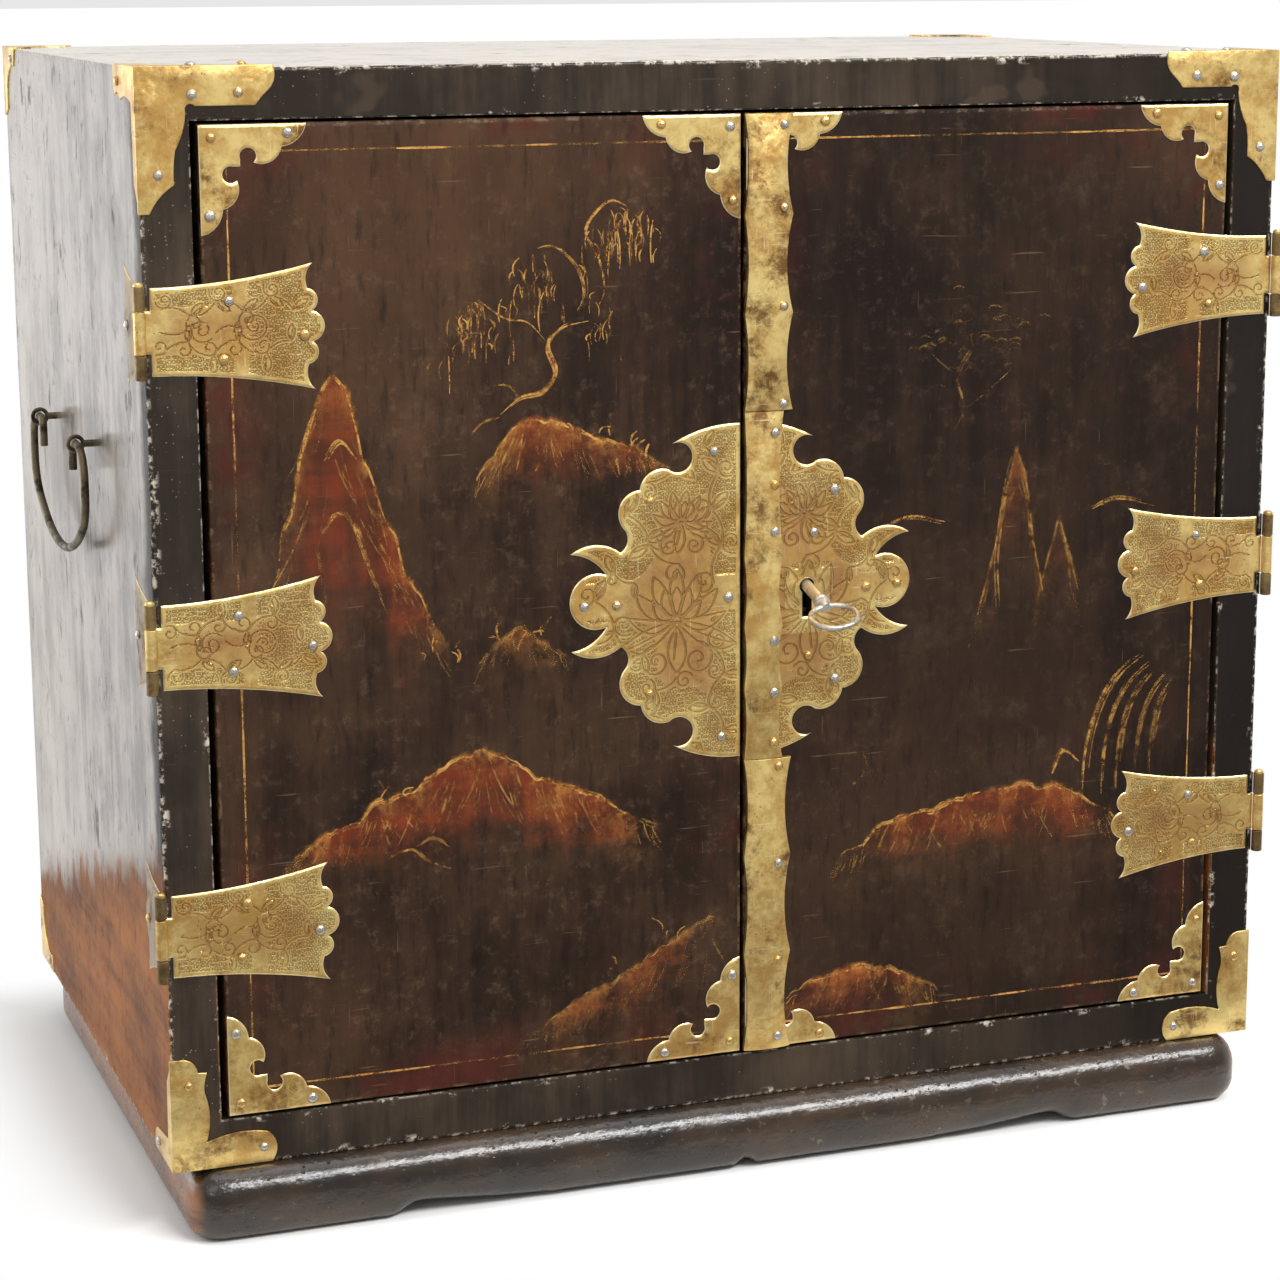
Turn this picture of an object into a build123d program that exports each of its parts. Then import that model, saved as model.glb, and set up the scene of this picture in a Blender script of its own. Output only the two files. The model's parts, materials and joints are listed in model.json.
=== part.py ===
from build123d import *
from math import cos, radians, sin, sqrt, asin, degrees
import os

os.makedirs("parts", exist_ok=True)

# All sizes are in millimetres. While the pieces are made, x runs to the right from the middle of the
# cabinet, y runs into it from its front face and z runs up from the underside of its bottom board.

# Carcass and plinth
width = 450.0
height = 402.0
depth = 283.0
board = 18.0
lap = 9.0  # what the top and bottom boards lap over the ends of the sides
back_board = 9.0
plinth_height = 28.0
plinth_rail = 20.0
plinth_front_swell = 9.0  # how far the rounded face of the plinth stands out under the front
plinth_side_inset = 4.0
plinth_back_inset = 7.0
plinth_corner = 13.0
plinth_top_round = 12.0
plinth_bottom_round = 9.0
foot_length = 76.0
foot_arch = 5.0  # rise of the lower edge beside each foot
foot_arch_length = 64.0
middle_lift = 0.8  # clear of the ground between the arches
middle_notch = 3.0

# Doors
door_thickness = 14.0
door_side_gap = 3.0
door_end_gap = 1.5
seam_gap = 2.0  # between the two doors
plate_seam_gap = 0.2  # what the lock plates and seam strips keep back from a door's edge

# Brass sheet work
sheet = 1.0
nail_radius = 1.9
nail_rise = 1.2
nail_taper = 38.0

# Hinges
hinge_from_top = 87.0
hinge_from_bottom = 94.5
middle_hinge_drop = 2.75
left_hinge_drop = 4.0  # the left set hangs a little lower than the right set
knuckle_radius = 2.2
knuckle_half = 7.5  # half the length of the strap's own knuckle
barrel_half = 16.5
knuckle_gap = 0.3
pin_radius = 1.15
pin_play = 0.05
pin_head_radius = 2.0
pin_head = 1.3
strap_root = 15.5  # half its height beside the knuckles
strap_start = 2.0
strap_length = 60.5
leaf_length = 32.0

# Lock, key and bolts
lock_above_middle = 2.0
key_x = 26.5
key_radius = 2.3
key_droop = 15.0  # the loose key hangs down a little in its hole
key_roll = 8.0
key_inside = 13.6
key_outside = 37.0
bow_radius = 9.0
bow_wire = 1.0
bit_radius = 7.5
bit_start = 9.5
bit_end = 13.5
bit_half = 1.1
keyhole_play = 0.8
keyhole_slot = 12.0
passage_play = 2.0  # room for the drooping key in the wood behind the plate
mortise_cover = 5.0  # wood left in front of the lock
lock_wall = 1.5
lock_proud = 0.5
lock_below_key = 11.0
lock_above_key = 21.5
lock_beyond_key = 19.0
bolt_above_key = 8.3
bolt_height = 10.0
bolt_front = 7.0
bolt_thick = 4.5
bolt_play = 0.4
bolt_throw = 7.0
talon_depth = 3.4
talon_left = 2.5
talon_right = 9.5
slide_x = 20.0  # door bolts, from the seam to their middle
slide_width = 8.0
slide_thick = 3.0
slide_length = 60.0
slide_throw = 8.0
slide_play = 0.3
staple_width = 6.0

# Bails
bail_height = 257.0
bail_back = 149.0
bail_standoff = 7.0
bail_wire = 1.6
bail_half = 57.0
bail_drop = 46.0
bail_corner = 16.0
bail_shoulder = 12.0
bail_shoulder_drop = 18.0  # where the straight sides of the bail end
bail_seat = 9.0  # length of wire that lies in an eye
bail_hook = 3.0
bail_tail = 8.0
eye_play = 0.5
eye_wall = 1.8
eye_thick = 2.6
eye_shank = 1.5
eye_depth = 11.0
eye_fit = 0.05

# Nest of drawers
knob_room = 16.0  # from the back of the doors to the drawer fronts
lining = 8.0
upright = 7.0
shelf = 7.0
shelf_housing = 2.5
top_drawer = 92.0
middle_drawer = 112.0
drawer_gap = 0.4
drawer_front = 10.0
drawer_side = 7.0
drawer_bottom = 5.0
drawer_back_gap = 4.0
drawer_side_drop = 5.0  # the sides stop this far below the top of the front
knob_radius = 6.0
knob_neck = 3.0
knob_length = 12.0
knob_head = 7.0
knob_bevel = 2.0

# Places that follow from the sizes above
half_width = width / 2
opening_half = half_width - board
door_outer = opening_half - door_side_gap
door_inner = seam_gap / 2
door_low = board + door_end_gap
door_high = height - board - door_end_gap
hinge_x = half_width + knuckle_radius
hinge_y = -knuckle_radius
lock_z = height / 2 + lock_above_middle
nest_front = door_thickness + knob_room
nest_back = depth - back_board
hinge_low = hinge_from_bottom
hinge_high = height - hinge_from_top
right_hinges = (hinge_low, (hinge_low + hinge_high) / 2 - middle_hinge_drop, hinge_high)
left_hinges = tuple(z - left_hinge_drop for z in right_hinges)
front = Plane((0, 0, 0), x_dir=(1, 0, 0), z_dir=(0, -1, 0))
side = Plane((0, 0, 0), x_dir=(0, 1, 0), z_dir=(1, 0, 0))

# The finished part stands on z = 0, with its middle, from the key's bow to the back, on y = 0
key_reach = sheet + key_outside * cos(radians(key_droop))
frame = Pos(0, (key_reach - depth - sheet) / 2, plinth_height)


def save(name, *solids):
    pieces = [frame * piece for piece in solids]
    shape = pieces[0] if len(pieces) == 1 else Compound(children=pieces)
    export_step(shape, f"parts/{name}.step")


def block(x, y, z):
    middle = [(a + b) / 2 for a, b in (x, y, z)]
    size = [b - a for a, b in (x, y, z)]
    return Pos(*middle) * Box(*size)


# A face from point to point. A step of two points is an arc through the first to the second.
def outline(*steps):
    edges = []
    here = steps[0]
    for step in steps[1:]:
        if isinstance(step[0], tuple):
            edges.append(ThreePointArc(here, *step))
            here = step[1]
        else:
            edges.append(Line(here, step))
            here = step
    if here != steps[0]:
        edges.append(Line(here, steps[0]))
    return make_face(edges)


def swap_sides(shape):
    return mirror(shape, about=Plane.YZ)


def swap_ends(shape):
    return mirror(shape, about=Plane.XY)


def swap_faces(shape):
    return mirror(shape, about=Plane.XZ)


def rod(radius, x, y, z, sides=0):
    ends = [Vector(a, b, c) for a, b, c in zip(*[v if isinstance(v, tuple) else (v, v) for v in (x, y, z)])]
    line = ends[1] - ends[0]
    section = RegularPolygon(radius, sides) if sides else Circle(radius)
    return extrude(Plane(ends[0], z_dir=line) * section, amount=line.length)


# Carcass: the top and bottom lap over the sides, and the back lies in a rebate
rebate_x = half_width - lap
back_seat = block((-rebate_x, rebate_x), (nest_back, depth), (lap, height - lap))
eye_along = bail_half - bail_shoulder - bail_seat / 2
eye_holes = [
    rod(eye_shank + eye_fit, (half_width - eye_depth, half_width), bail_back + y, bail_height, 8)
    for y in (-eye_along, eye_along)
]
right_side = (
    block((half_width - lap, half_width), (0, depth), (lap, height - lap))
    + block((half_width - board, half_width - lap), (0, depth), (board, height - board))
    - back_seat
    - eye_holes
)
bottom = (
    block((-half_width, half_width), (0, depth), (0, lap))
    + block((-rebate_x, rebate_x), (0, depth), (lap, board))
    - back_seat
)
slide_left = -door_inner - slide_x - slide_width / 2
slide_right = slide_left + slide_width
slide_back = door_thickness + slide_play / 2
slide_hole = block(
    (slide_left - bolt_play, slide_right + bolt_play),
    (slide_back - bolt_play, slide_back + slide_thick + bolt_play),
    (board - slide_throw - 1, board),
)
top = Pos(0, 0, height) * swap_ends(bottom - slide_hole)
save("carcass_top", top)
save("carcass_bottom", bottom - slide_hole)
save("carcass_right_side", right_side)
save("carcass_left_side", swap_sides(right_side))
save("carcass_back", back_seat)

# Plinth: a rounded moulding, mitred at its corners
plinth_half = half_width - plinth_side_inset
plinth_depth = depth - plinth_back_inset + plinth_front_swell
plinth_middle = plinth_depth / 2 - plinth_front_swell
ring = extrude(
    Pos(0, plinth_middle, -plinth_height) * RectangleRounded(2 * plinth_half, plinth_depth, plinth_corner),
    amount=plinth_height,
)
ring = fillet(ring.faces().sort_by(Axis.Z)[-1].edges(), plinth_top_round)
ring = fillet(ring.faces().sort_by(Axis.Z)[0].edges(), plinth_bottom_round)
inner_half = plinth_half - plinth_rail
inner_front = plinth_rail - plinth_front_swell
inner_back = plinth_depth - plinth_front_swell - plinth_rail
ring -= block((-inner_half, inner_half), (inner_front, inner_back), (-plinth_height, 0))
corner_out = plinth_half + plinth_rail
front_wedge = outline(
    (-inner_half, inner_front),
    (inner_half, inner_front),
    (corner_out, inner_front - 2 * plinth_rail),
    (-corner_out, inner_front - 2 * plinth_rail),
)
side_wedge = outline(
    (inner_half, inner_front),
    (corner_out, inner_front - 2 * plinth_rail),
    (corner_out, inner_back + 2 * plinth_rail),
    (inner_half, inner_back),
)
back_wedge = outline(
    (-inner_half, inner_back),
    (inner_half, inner_back),
    (corner_out, inner_back + 2 * plinth_rail),
    (-corner_out, inner_back + 2 * plinth_rail),
)


def rail(wedge):
    return ring & extrude(Pos(0, 0, -plinth_height) * wedge, amount=plinth_height)


foot_end = plinth_half - foot_length
arch_end = foot_end - foot_arch_length
ground = -plinth_height
arch = outline(
    (0, ground - 1),
    (foot_end, ground - 1),
    (foot_end, ground),
    ((foot_end - foot_arch * 0.9, ground + foot_arch * 0.25), (foot_end - foot_arch * 1.4, ground + foot_arch * 0.7)),
    ((foot_end - foot_arch * 2, ground + foot_arch * 0.95), (foot_end - foot_arch * 3, ground + foot_arch)),
    ((foot_end - foot_arch_length * 0.6, ground + foot_arch * 0.75), (arch_end, ground + middle_lift)),
    (middle_notch * 2, ground + middle_lift),
    ((middle_notch * 0.8, ground + middle_lift + middle_notch * 0.25), (0, ground + middle_lift + middle_notch)),
)
arch = extrude(front * arch, both=True, amount=plinth_rail + plinth_front_swell)
save("plinth_front", rail(front_wedge) - arch - swap_sides(arch))
save("plinth_right", rail(side_wedge))
save("plinth_left", swap_sides(rail(side_wedge)))
save("plinth_back", rail(back_wedge))

# Nest: linings, upright and shelves housed in them
shelf_low = height - board - top_drawer - middle_drawer - 2 * shelf
shelf_high = height - board - top_drawer - shelf
lining_face = opening_half - lining
upright_half = upright / 2
right_shelves = [
    block(
        (upright_half - shelf_housing, lining_face + shelf_housing),
        (nest_front, nest_back),
        (z, z + shelf),
    )
    for z in (shelf_low, shelf_high)
]
left_shelves = [swap_sides(piece) for piece in right_shelves]
right_lining = block((lining_face, opening_half), (nest_front, nest_back), (board, height - board)) - right_shelves
middle = block((-upright_half, upright_half), (nest_front, nest_back), (board, height - board))
save("right_lining", right_lining)
save("left_lining", swap_sides(right_lining))
save("drawer_upright", middle - right_shelves - left_shelves)
save("drawer_shelves", *right_shelves, *left_shelves)


# Drawers: front, two sides, back, bottom and a faceted knob
def drawer(name, low, high, place):
    left = upright_half + drawer_gap
    right = lining_face - drawer_gap
    low = low + drawer_gap
    high = high - drawer_gap
    front_end = nest_front + drawer_front
    end = nest_back - drawer_back_gap
    rim = high - drawer_side_drop
    face = block((left, right), (nest_front, front_end), (low, high))
    walls = [
        block((left, left + drawer_side), (front_end, end), (low, rim)),
        block((right - drawer_side, right), (front_end, end), (low, rim)),
        block((left + drawer_side, right - drawer_side), (end - drawer_side, end), (low, rim)),
        block(
            (left + drawer_side, right - drawer_side),
            (front_end, end - drawer_side),
            (low, low + drawer_bottom),
        ),
    ]
    seat = Plane(((left + right) / 2, nest_front, (low + high) / 2), x_dir=(1, 0, 0), z_dir=(0, -1, 0))
    neck = extrude(seat * RegularPolygon(knob_neck, 8), amount=knob_length - knob_head)
    head = extrude(seat.offset(knob_length - knob_head) * RegularPolygon(knob_radius, 8), amount=knob_head)
    ends = head.faces().sort_by(Axis.Y)
    knob = neck + chamfer(ends[0].edges() + ends[-1].edges(), knob_bevel)
    save(f"{name}_front", place(face))
    save(f"{name}_box", *[place(piece) for piece in walls])
    save(f"{name}_knob", place(knob))


for column, place in (("left", swap_sides), ("right", lambda shape: shape)):
    drawer(f"{column}_top_drawer", shelf_high + shelf, height - board, place)
    drawer(f"{column}_middle_drawer", shelf_low + shelf, shelf_high, place)
    drawer(f"{column}_bottom_drawer", board, shelf_low, place)

# Nails: one faceted dome of a head, turned to face out of each surface
nail = extrude(front * RegularPolygon(nail_radius, 8), amount=nail_rise, taper=nail_taper)


def front_nails(spots, lift=sheet):
    return [Pos(x, -lift, z) * nail for x, z in spots]


# Corner mounts of the carcass, made for the low left front corner
top_front = outline(
    (-sheet, -sheet),
    (48, -sheet),
    ((48.5, 4), (46, 8)),
    ((43.5, 10.5), (41.5, 13)),
    (20, 13),
    ((17.5, 12.5), (16.8, 15)),
    ((15.5, 22), (12.8, 28)),
    ((12, 34), (12, 40)),
    ((8, 43), (3, 50)),
    (-sheet, 50),
)
top_side = outline(
    (-sheet, -sheet),
    (36, -sheet),
    ((37, 4), (34.5, 10)),
    ((30, 9), (26, 11.5)),
    ((18, 10), (6, 12)),
    (5, 40),
    (0, 46),
    (-sheet, 46),
)
top_cover = outline(
    (-sheet, -sheet),
    (44, -sheet),
    (44, 0),
    ((43, 5), (40, 8)),
    (12, 10),
    (10, 12),
    (8, 28),
    ((4, 31), (0, 32)),
    (-sheet, 32),
)
low_front = outline(
    (-sheet, 0),
    (36.5, 0),
    ((38.5, 6), (35, 12)),
    ((23, 13), (12, 10.5)),
    ((13.5, 21), (11.8, 30)),
    ((12, 34), (13, 37.5)),
    (9.5, 37.8),
    ((7.5, 42), (3, 43.5)),
    (-sheet, 43.5),
)
low_side = outline(
    (-sheet, 0),
    (30, 0),
    ((30, 6), (26, 9)),
    (6, 11),
    (5, 34),
    (0, 40),
    (-sheet, 40),
)
rear_cap = outline(
    (-sheet, -sheet),
    (28, -sheet),
    (28, 0),
    (25, 7),
    ((11, 11), (7, 25)),
    (0, 28),
    (-sheet, 28),
)


# On the front, on the side and under or over the corner
def on_front(face):
    return extrude(front * face, amount=sheet)


def on_side(face):
    return extrude(side * face, amount=-sheet)


def on_end(face):
    return extrude(face, amount=-sheet)


low_mount = Pos(-half_width, 0, 0) * (on_front(low_front) + on_side(low_side))
top_mount = on_front(top_front) + on_side(top_side) + on_end(top_cover)
top_mount = Pos(-half_width, 0, height) * swap_ends(top_mount)
save("front_corner_mounts", low_mount, swap_sides(low_mount), top_mount, swap_sides(top_mount))
low_rear_face = rear_cap & (Pos(14, 14) * Rectangle(60, 28))
low_rear = on_front(low_rear_face) + on_side(low_rear_face)
top_rear = on_front(rear_cap) + on_side(rear_cap) + on_end(rear_cap)
low_rear = Pos(-half_width, depth, 0) * swap_faces(low_rear)
top_rear = Pos(-half_width, depth, height) * swap_faces(swap_ends(top_rear))
save("rear_corner_mounts", low_rear, swap_sides(low_rear), top_rear, swap_sides(top_rear))

# Hinges: strap and leaf are rolled round a headed pin
strap_face = outline(
    (strap_start, -strap_root),
    ((strap_length * 0.55, -strap_root - 2), (strap_length, -strap_root - 7)),
    ((strap_length - 2.6, -17.5), (strap_length - 2, -13.5)),
    ((strap_length + 1.6, -10), (strap_length - 0.5, -5.5)),
    ((strap_length + 4, 0), (strap_length - 0.5, 5.5)),
    ((strap_length + 1.6, 10), (strap_length - 2, 13.5)),
    ((strap_length - 2.6, 17.5), (strap_length, strap_root + 7)),
    ((strap_length * 0.55, strap_root + 2), (strap_start, strap_root)),
)
leaf_face = outline(
    (strap_start, -strap_root),
    ((leaf_length * 0.6, -strap_root - 1.5), (leaf_length, -strap_root - 6)),
    ((leaf_length - 2, -15), (leaf_length - 2, -10)),
    ((leaf_length + 1, 0), (leaf_length - 2, 10)),
    ((leaf_length - 2, 15), (leaf_length, strap_root + 6)),
    ((leaf_length * 0.6, strap_root + 1.5), (strap_start, strap_root)),
)
bore_radius = pin_radius + pin_play


# The small barrels have eight sides, and turn on a round bore in the strap
def barrel(radius, low, high):
    return extrude(Pos(-hinge_x, hinge_y, low) * RegularPolygon(radius, 8), amount=high - low)


def strap(z):
    tongue = block((-hinge_x, strap_start - half_width), (-sheet, 0), (-knuckle_half, knuckle_half))
    solid = Pos(-half_width, 0, 0) * on_front(strap_face) + barrel(knuckle_radius, -knuckle_half, knuckle_half)
    bore = rod(bore_radius, -hinge_x, hinge_y, (-barrel_half, barrel_half))
    return Pos(0, 0, z) * (solid + tongue - bore)


def leaf(z):
    start = knuckle_half + knuckle_gap
    tongue = block((-half_width - sheet, -half_width), (hinge_y, strap_start), (start, barrel_half))
    upper = barrel(knuckle_radius, start, barrel_half) + tongue
    solid = Pos(-half_width, 0, 0) * on_side(leaf_face) + upper + swap_ends(upper)
    return Pos(0, 0, z) * (solid - barrel(bore_radius, -barrel_half, barrel_half))


def pin(z):
    head = barrel(pin_head_radius, barrel_half, barrel_half + pin_head)
    return Pos(0, 0, z) * (barrel(pin_radius, -barrel_half, barrel_half) + head)


save("left_hinge_straps", *[strap(z) for z in left_hinges])
save("right_hinge_straps", *[swap_sides(strap(z)) for z in right_hinges])
save("left_hinge_leaves", *[leaf(z) for z in left_hinges])
save("right_hinge_leaves", *[swap_sides(leaf(z)) for z in right_hinges])
save("hinge_pins", *[pin(z) for z in left_hinges], *[swap_sides(pin(z)) for z in right_hinges])

# Lock plate: its outline is the same above and below and on both doors
plate_edge = door_inner + plate_seam_gap
lock_face = outline(
    (plate_edge, -64.5),
    ((16, -63), (28.5, -58)),
    ((20.5, -52), (30, -48.5)),
    ((37.5, -47.5), (41.5, -41.3)),
    ((49.3, -36), (48, -27)),
    ((46.4, -22.5), (49.3, -18)),
    ((58, -21.5), (69, -18.5)),
    ((60, -15.2), (55, -10)),
    ((69.5, 0), (55, 10)),
    ((60, 15.2), (69, 18.5)),
    ((58, 21.5), (49.3, 18)),
    ((46.4, 22.5), (48, 27)),
    ((49.3, 36), (41.5, 41.3)),
    ((37.5, 47.5), (30, 48.5)),
    ((20.5, 52), (28.5, 58)),
    ((16, 63), (plate_edge, 64.5)),
)
lock_plate = Pos(0, 0, lock_z) * on_front(lock_face)
keyhole_radius = key_radius + keyhole_play
slot = Pos(0, -keyhole_slot / 2) * Rectangle(1.3 * keyhole_radius, keyhole_slot)
keyhole = front * Pos(key_x, lock_z) * (Circle(keyhole_radius) + slot)
right_plate = lock_plate - extrude(keyhole, amount=sheet)
key_rise = mortise_cover * sin(radians(key_droop))
passage = Pos(0, key_rise / 2) * Circle(key_radius + passage_play) + slot
passage = extrude(front * Pos(key_x, lock_z) * passage, amount=-mortise_cover)

# Lock: a case open towards the wood, let into the back of the right door
case_x = (door_inner, key_x + lock_beyond_key)
case_z = (lock_z - lock_below_key, lock_z + lock_above_key)
case_back = door_thickness + lock_proud
case = block(case_x, (mortise_cover, case_back), case_z)
mortise = block((door_inner, case_x[1]), (mortise_cover, door_thickness), case_z)
case -= block(
    (case_x[0] + lock_wall, case_x[1] - lock_wall),
    (mortise_cover, case_back - lock_wall),
    (case_z[0] + lock_wall, case_z[1] - lock_wall),
)
bolt_low = lock_z + bolt_above_key
bolt_y = (bolt_front, bolt_front + bolt_thick)
bolt_z = (bolt_low, bolt_low + bolt_height)


def bolt_hole(x):
    wide = (bolt_y[0] - bolt_play, bolt_y[1] + bolt_play)
    tall = (bolt_z[0] - bolt_play, bolt_z[1] + bolt_play)
    return block(x, wide, tall)


lock_bolt = block((door_inner + bolt_play, key_x + lock_beyond_key - lock_wall - bolt_play), bolt_y, bolt_z)
lock_bolt -= block((key_x - talon_left, key_x + talon_right), bolt_y, (bolt_low, bolt_low + talon_depth))
save("lock_case", case - bolt_hole((0, case_x[0] + lock_wall)))
save("lock_bolt", lock_bolt)

# Key: made along y with its bow level, then rolled and let droop
bow_middle = bow_radius + bow_wire - key_outside
key = rod(key_radius, 0, (bow_middle + bow_radius, key_inside), 0)
key += rod(key_radius * 1.35, 0, (bow_middle + bow_radius + 2, bow_middle + bow_radius + 4.5), 0)
bow = revolve(Pos(bow_radius, 0) * Plane.XZ.offset(0) * RegularPolygon(bow_wire, 6), Axis.Z)
key += Pos(0, bow_middle, 0) * bow
key += block((0, bit_radius), (bit_start, bit_end), (-bit_half, bit_half))
save("key", Pos(key_x, -sheet, lock_z) * Rot(key_droop, 0, 0) * Rot(0, -key_roll, 0) * key)

# Door bolts on the back of the left door, each in two staples
slide_end = door_high - 0.5
slide = block((slide_left, slide_right), (slide_back, slide_back + slide_thick), (slide_end - slide_length, slide_end))
slide += rod(
    slide_width * 0.3,
    (slide_left + slide_right) / 2,
    (slide_back + slide_thick, slide_back + 2 * slide_thick),
    slide_end - slide_length / 2,
)
staple_z = (slide_end - slide_length * 0.2, slide_end - slide_length * 0.85)


def staple(z):
    tall = (z - staple_width / 2, z + staple_width / 2)
    reach = slide_back + slide_thick + slide_play
    outer = (slide_left - slide_play - sheet, slide_right + slide_play + sheet)
    inner = (slide_left - slide_play, slide_right + slide_play)
    return block(outer, (door_thickness, reach + sheet), tall) - block(inner, (door_thickness, reach), tall)


def low_end(shape):
    return Pos(0, 0, height) * swap_ends(shape)


staples = [staple(z) for z in staple_z]
save("upper_door_bolt", slide)
save("lower_door_bolt", low_end(slide))
save("bolt_staples", *staples, *[low_end(piece) for piece in staples])

# Strike plate in the edge of the left door
strike_half = bolt_height * 1.6
strike_middle = bolt_low + bolt_height / 2
strike_seat = block(
    (-door_inner - lock_wall, -door_inner),
    (bolt_y[0] - 3, bolt_y[1] + 2),
    (strike_middle - strike_half, strike_middle + strike_half),
)
strike_pocket = bolt_hole((-door_inner - bolt_throw - 2, -door_inner))
save("strike_plate", strike_seat - strike_pocket)

# Door panels
panel = block((door_inner, door_outer), (0, door_thickness), (door_low, door_high))
save("right_door_panel", panel - mortise - passage)
save("left_door_panel", swap_sides(panel) - strike_seat - strike_pocket)

# Door corner mounts, with two round notches either side of a square cusp
door_mount = on_front(
    outline(
        (0, 0),
        (38.5, 0),
        ((35.5, 5.5), (29.5, 8)),
        ((26, 13), (19.3, 13.3)),
        ((16.8, 8.2), (14.6, 12)),
        (14.6, 14.6),
        (12, 14.6),
        ((8.2, 16.8), (13.3, 19.3)),
        ((13, 26), (8, 29.5)),
        ((5.5, 35.5), (0, 38.5)),
    )
)
door_nails = ((3.2, 31.5), (4.3, 4.5), (31.5, 3.2))


def at_corners(shape, inner, outer):
    return [
        Pos(inner, 0, door_low) * shape,
        Pos(outer, 0, door_low) * swap_sides(shape),
        Pos(inner, 0, door_high) * swap_ends(shape),
        Pos(outer, 0, door_high) * swap_ends(swap_sides(shape)),
    ]


right_mounts = at_corners(door_mount, plate_edge, door_outer)
save("right_door_corner_mounts", *right_mounts)
save("left_door_corner_mounts", *[swap_sides(piece) for piece in right_mounts])

# Seam strips: half-round, with scalloped edges, let down over the mounts under them
strip_left = plate_seam_gap
strip_right = 19.6
strip_edge = 1.8
strip_crown = 3.2
strip_middle = (strip_left + strip_right) / 2
strip_half = (strip_right - strip_left) / 2
strip_bend = (strip_half**2 + (strip_crown - strip_edge) ** 2) / (2 * (strip_crown - strip_edge))
strip_section = outline(
    (strip_left, 0),
    (strip_left, -strip_edge),
    ((strip_middle, -strip_crown), (strip_right, -strip_edge)),
    (strip_right, 0),
)


def strip(stops, right, bay):
    steps = [(strip_left, stops[0]), (right, stops[0])]
    for low, high in zip(stops, stops[1:]):
        steps.append(((right - bay, low * 0.6 + high * 0.4), (right, high)))
    steps.append((strip_left, stops[-1]))
    for low, high in reversed(list(zip(stops, stops[1:]))):
        steps.append(((strip_left + bay / 2, low * 0.6 + high * 0.4), (strip_left, low)))
    face = outline(*steps)
    length = stops[-1] - stops[0]
    solid = extrude(front * face, amount=strip_crown)
    return solid & extrude(Pos(0, 0, stops[0]) * strip_section, amount=length)


plate_high = lock_z + 68.5
plate_low = lock_z - 66.0
high_third = (door_high - plate_high) / 3
low_third = (plate_low - door_low) / 3
strip_joint = 0.3
upper_stops = [plate_high + strip_joint, plate_high + high_third, plate_high + 2 * high_third, door_high]
lower_stops = [door_low, door_low + low_third, door_low + 2 * low_third, plate_low - strip_joint]
middle_stops = [plate_low, plate_low + 28, lock_z - 14, lock_z + 13, plate_high]
upper_strip = strip(upper_stops, strip_right, 2.6) - right_mounts[2]
lower_strip = strip(lower_stops, strip_right, 2.6) - right_mounts[0]
middle_strip = strip(middle_stops, strip_right - 4.0, 1.6) - right_plate
save("right_lock_plate", right_plate)
save("left_lock_plate", swap_sides(lock_plate))
save("upper_seam_strip", upper_strip)
save("middle_seam_strip", middle_strip)
save("lower_seam_strip", lower_strip)


# A nail on a strip leans with the strip's round face
def strip_nail(x, z):
    off = x - strip_middle
    level = strip_crown - strip_bend + sqrt(strip_bend**2 - off**2)
    seat = nail_radius**2 / (2 * strip_bend)
    lean = degrees(asin(off / strip_bend))
    return Pos(x, -level, z) * Rot(0, 0, lean) * Pos(0, -seat, 0) * nail


strip_nails = [strip_nail(15.5, door_high - 4)]
strip_nails += [strip_nail(15.5, z + 2.5) for z in upper_stops[:3]]
strip_nails += [strip_nail(12, lock_z + z) for z in (60.5, 40.5, 22.5, -20, -40, -60)]
strip_nails += [strip_nail(14, z - 3) for z in lower_stops[1:]]
strip_nails += [strip_nail(14, door_low + 5)]
strap_nails = ((30, 10), (27.5, -10.5), (57, -3))
shared_plate_nails = ((37.5, 37.0), (64.0, -1.5), (51.0, -2.0), (38.0, -37.0))
left_plate_nails = shared_plate_nails + ((12.0, 54.5), (6.0, -2.0), (9.0, -56.0))
right_plate_nails = shared_plate_nails + ((29.0, 21.0), (27.0, -27.0))


def corner_spots(spots, inner, outer):
    low = [(inner + x, door_low + z) for x, z in spots] + [(outer - x, door_low + z) for x, z in spots]
    high = [(inner + x, door_high - z) for x, z in spots] + [(outer - x, door_high - z) for x, z in spots]
    return low + high


outer_only = [spot for spot in corner_spots(door_nails, plate_edge, door_outer) if spot[0] > strip_right + nail_radius]
right_spots = outer_only + [(x, lock_z + z) for x, z in right_plate_nails]
right_spots += [(half_width - x, z + up) for z in right_hinges for x, up in strap_nails]
left_spots = [(-x, z) for x, z in corner_spots(door_nails, plate_edge, door_outer)]
left_spots += [(-x, lock_z + z) for x, z in left_plate_nails]
left_spots += [(x - half_width, z + up) for z in left_hinges for x, up in strap_nails]
save("right_door_nails", *front_nails(right_spots), *strip_nails)
save("left_door_nails", *front_nails(left_spots))

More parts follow.
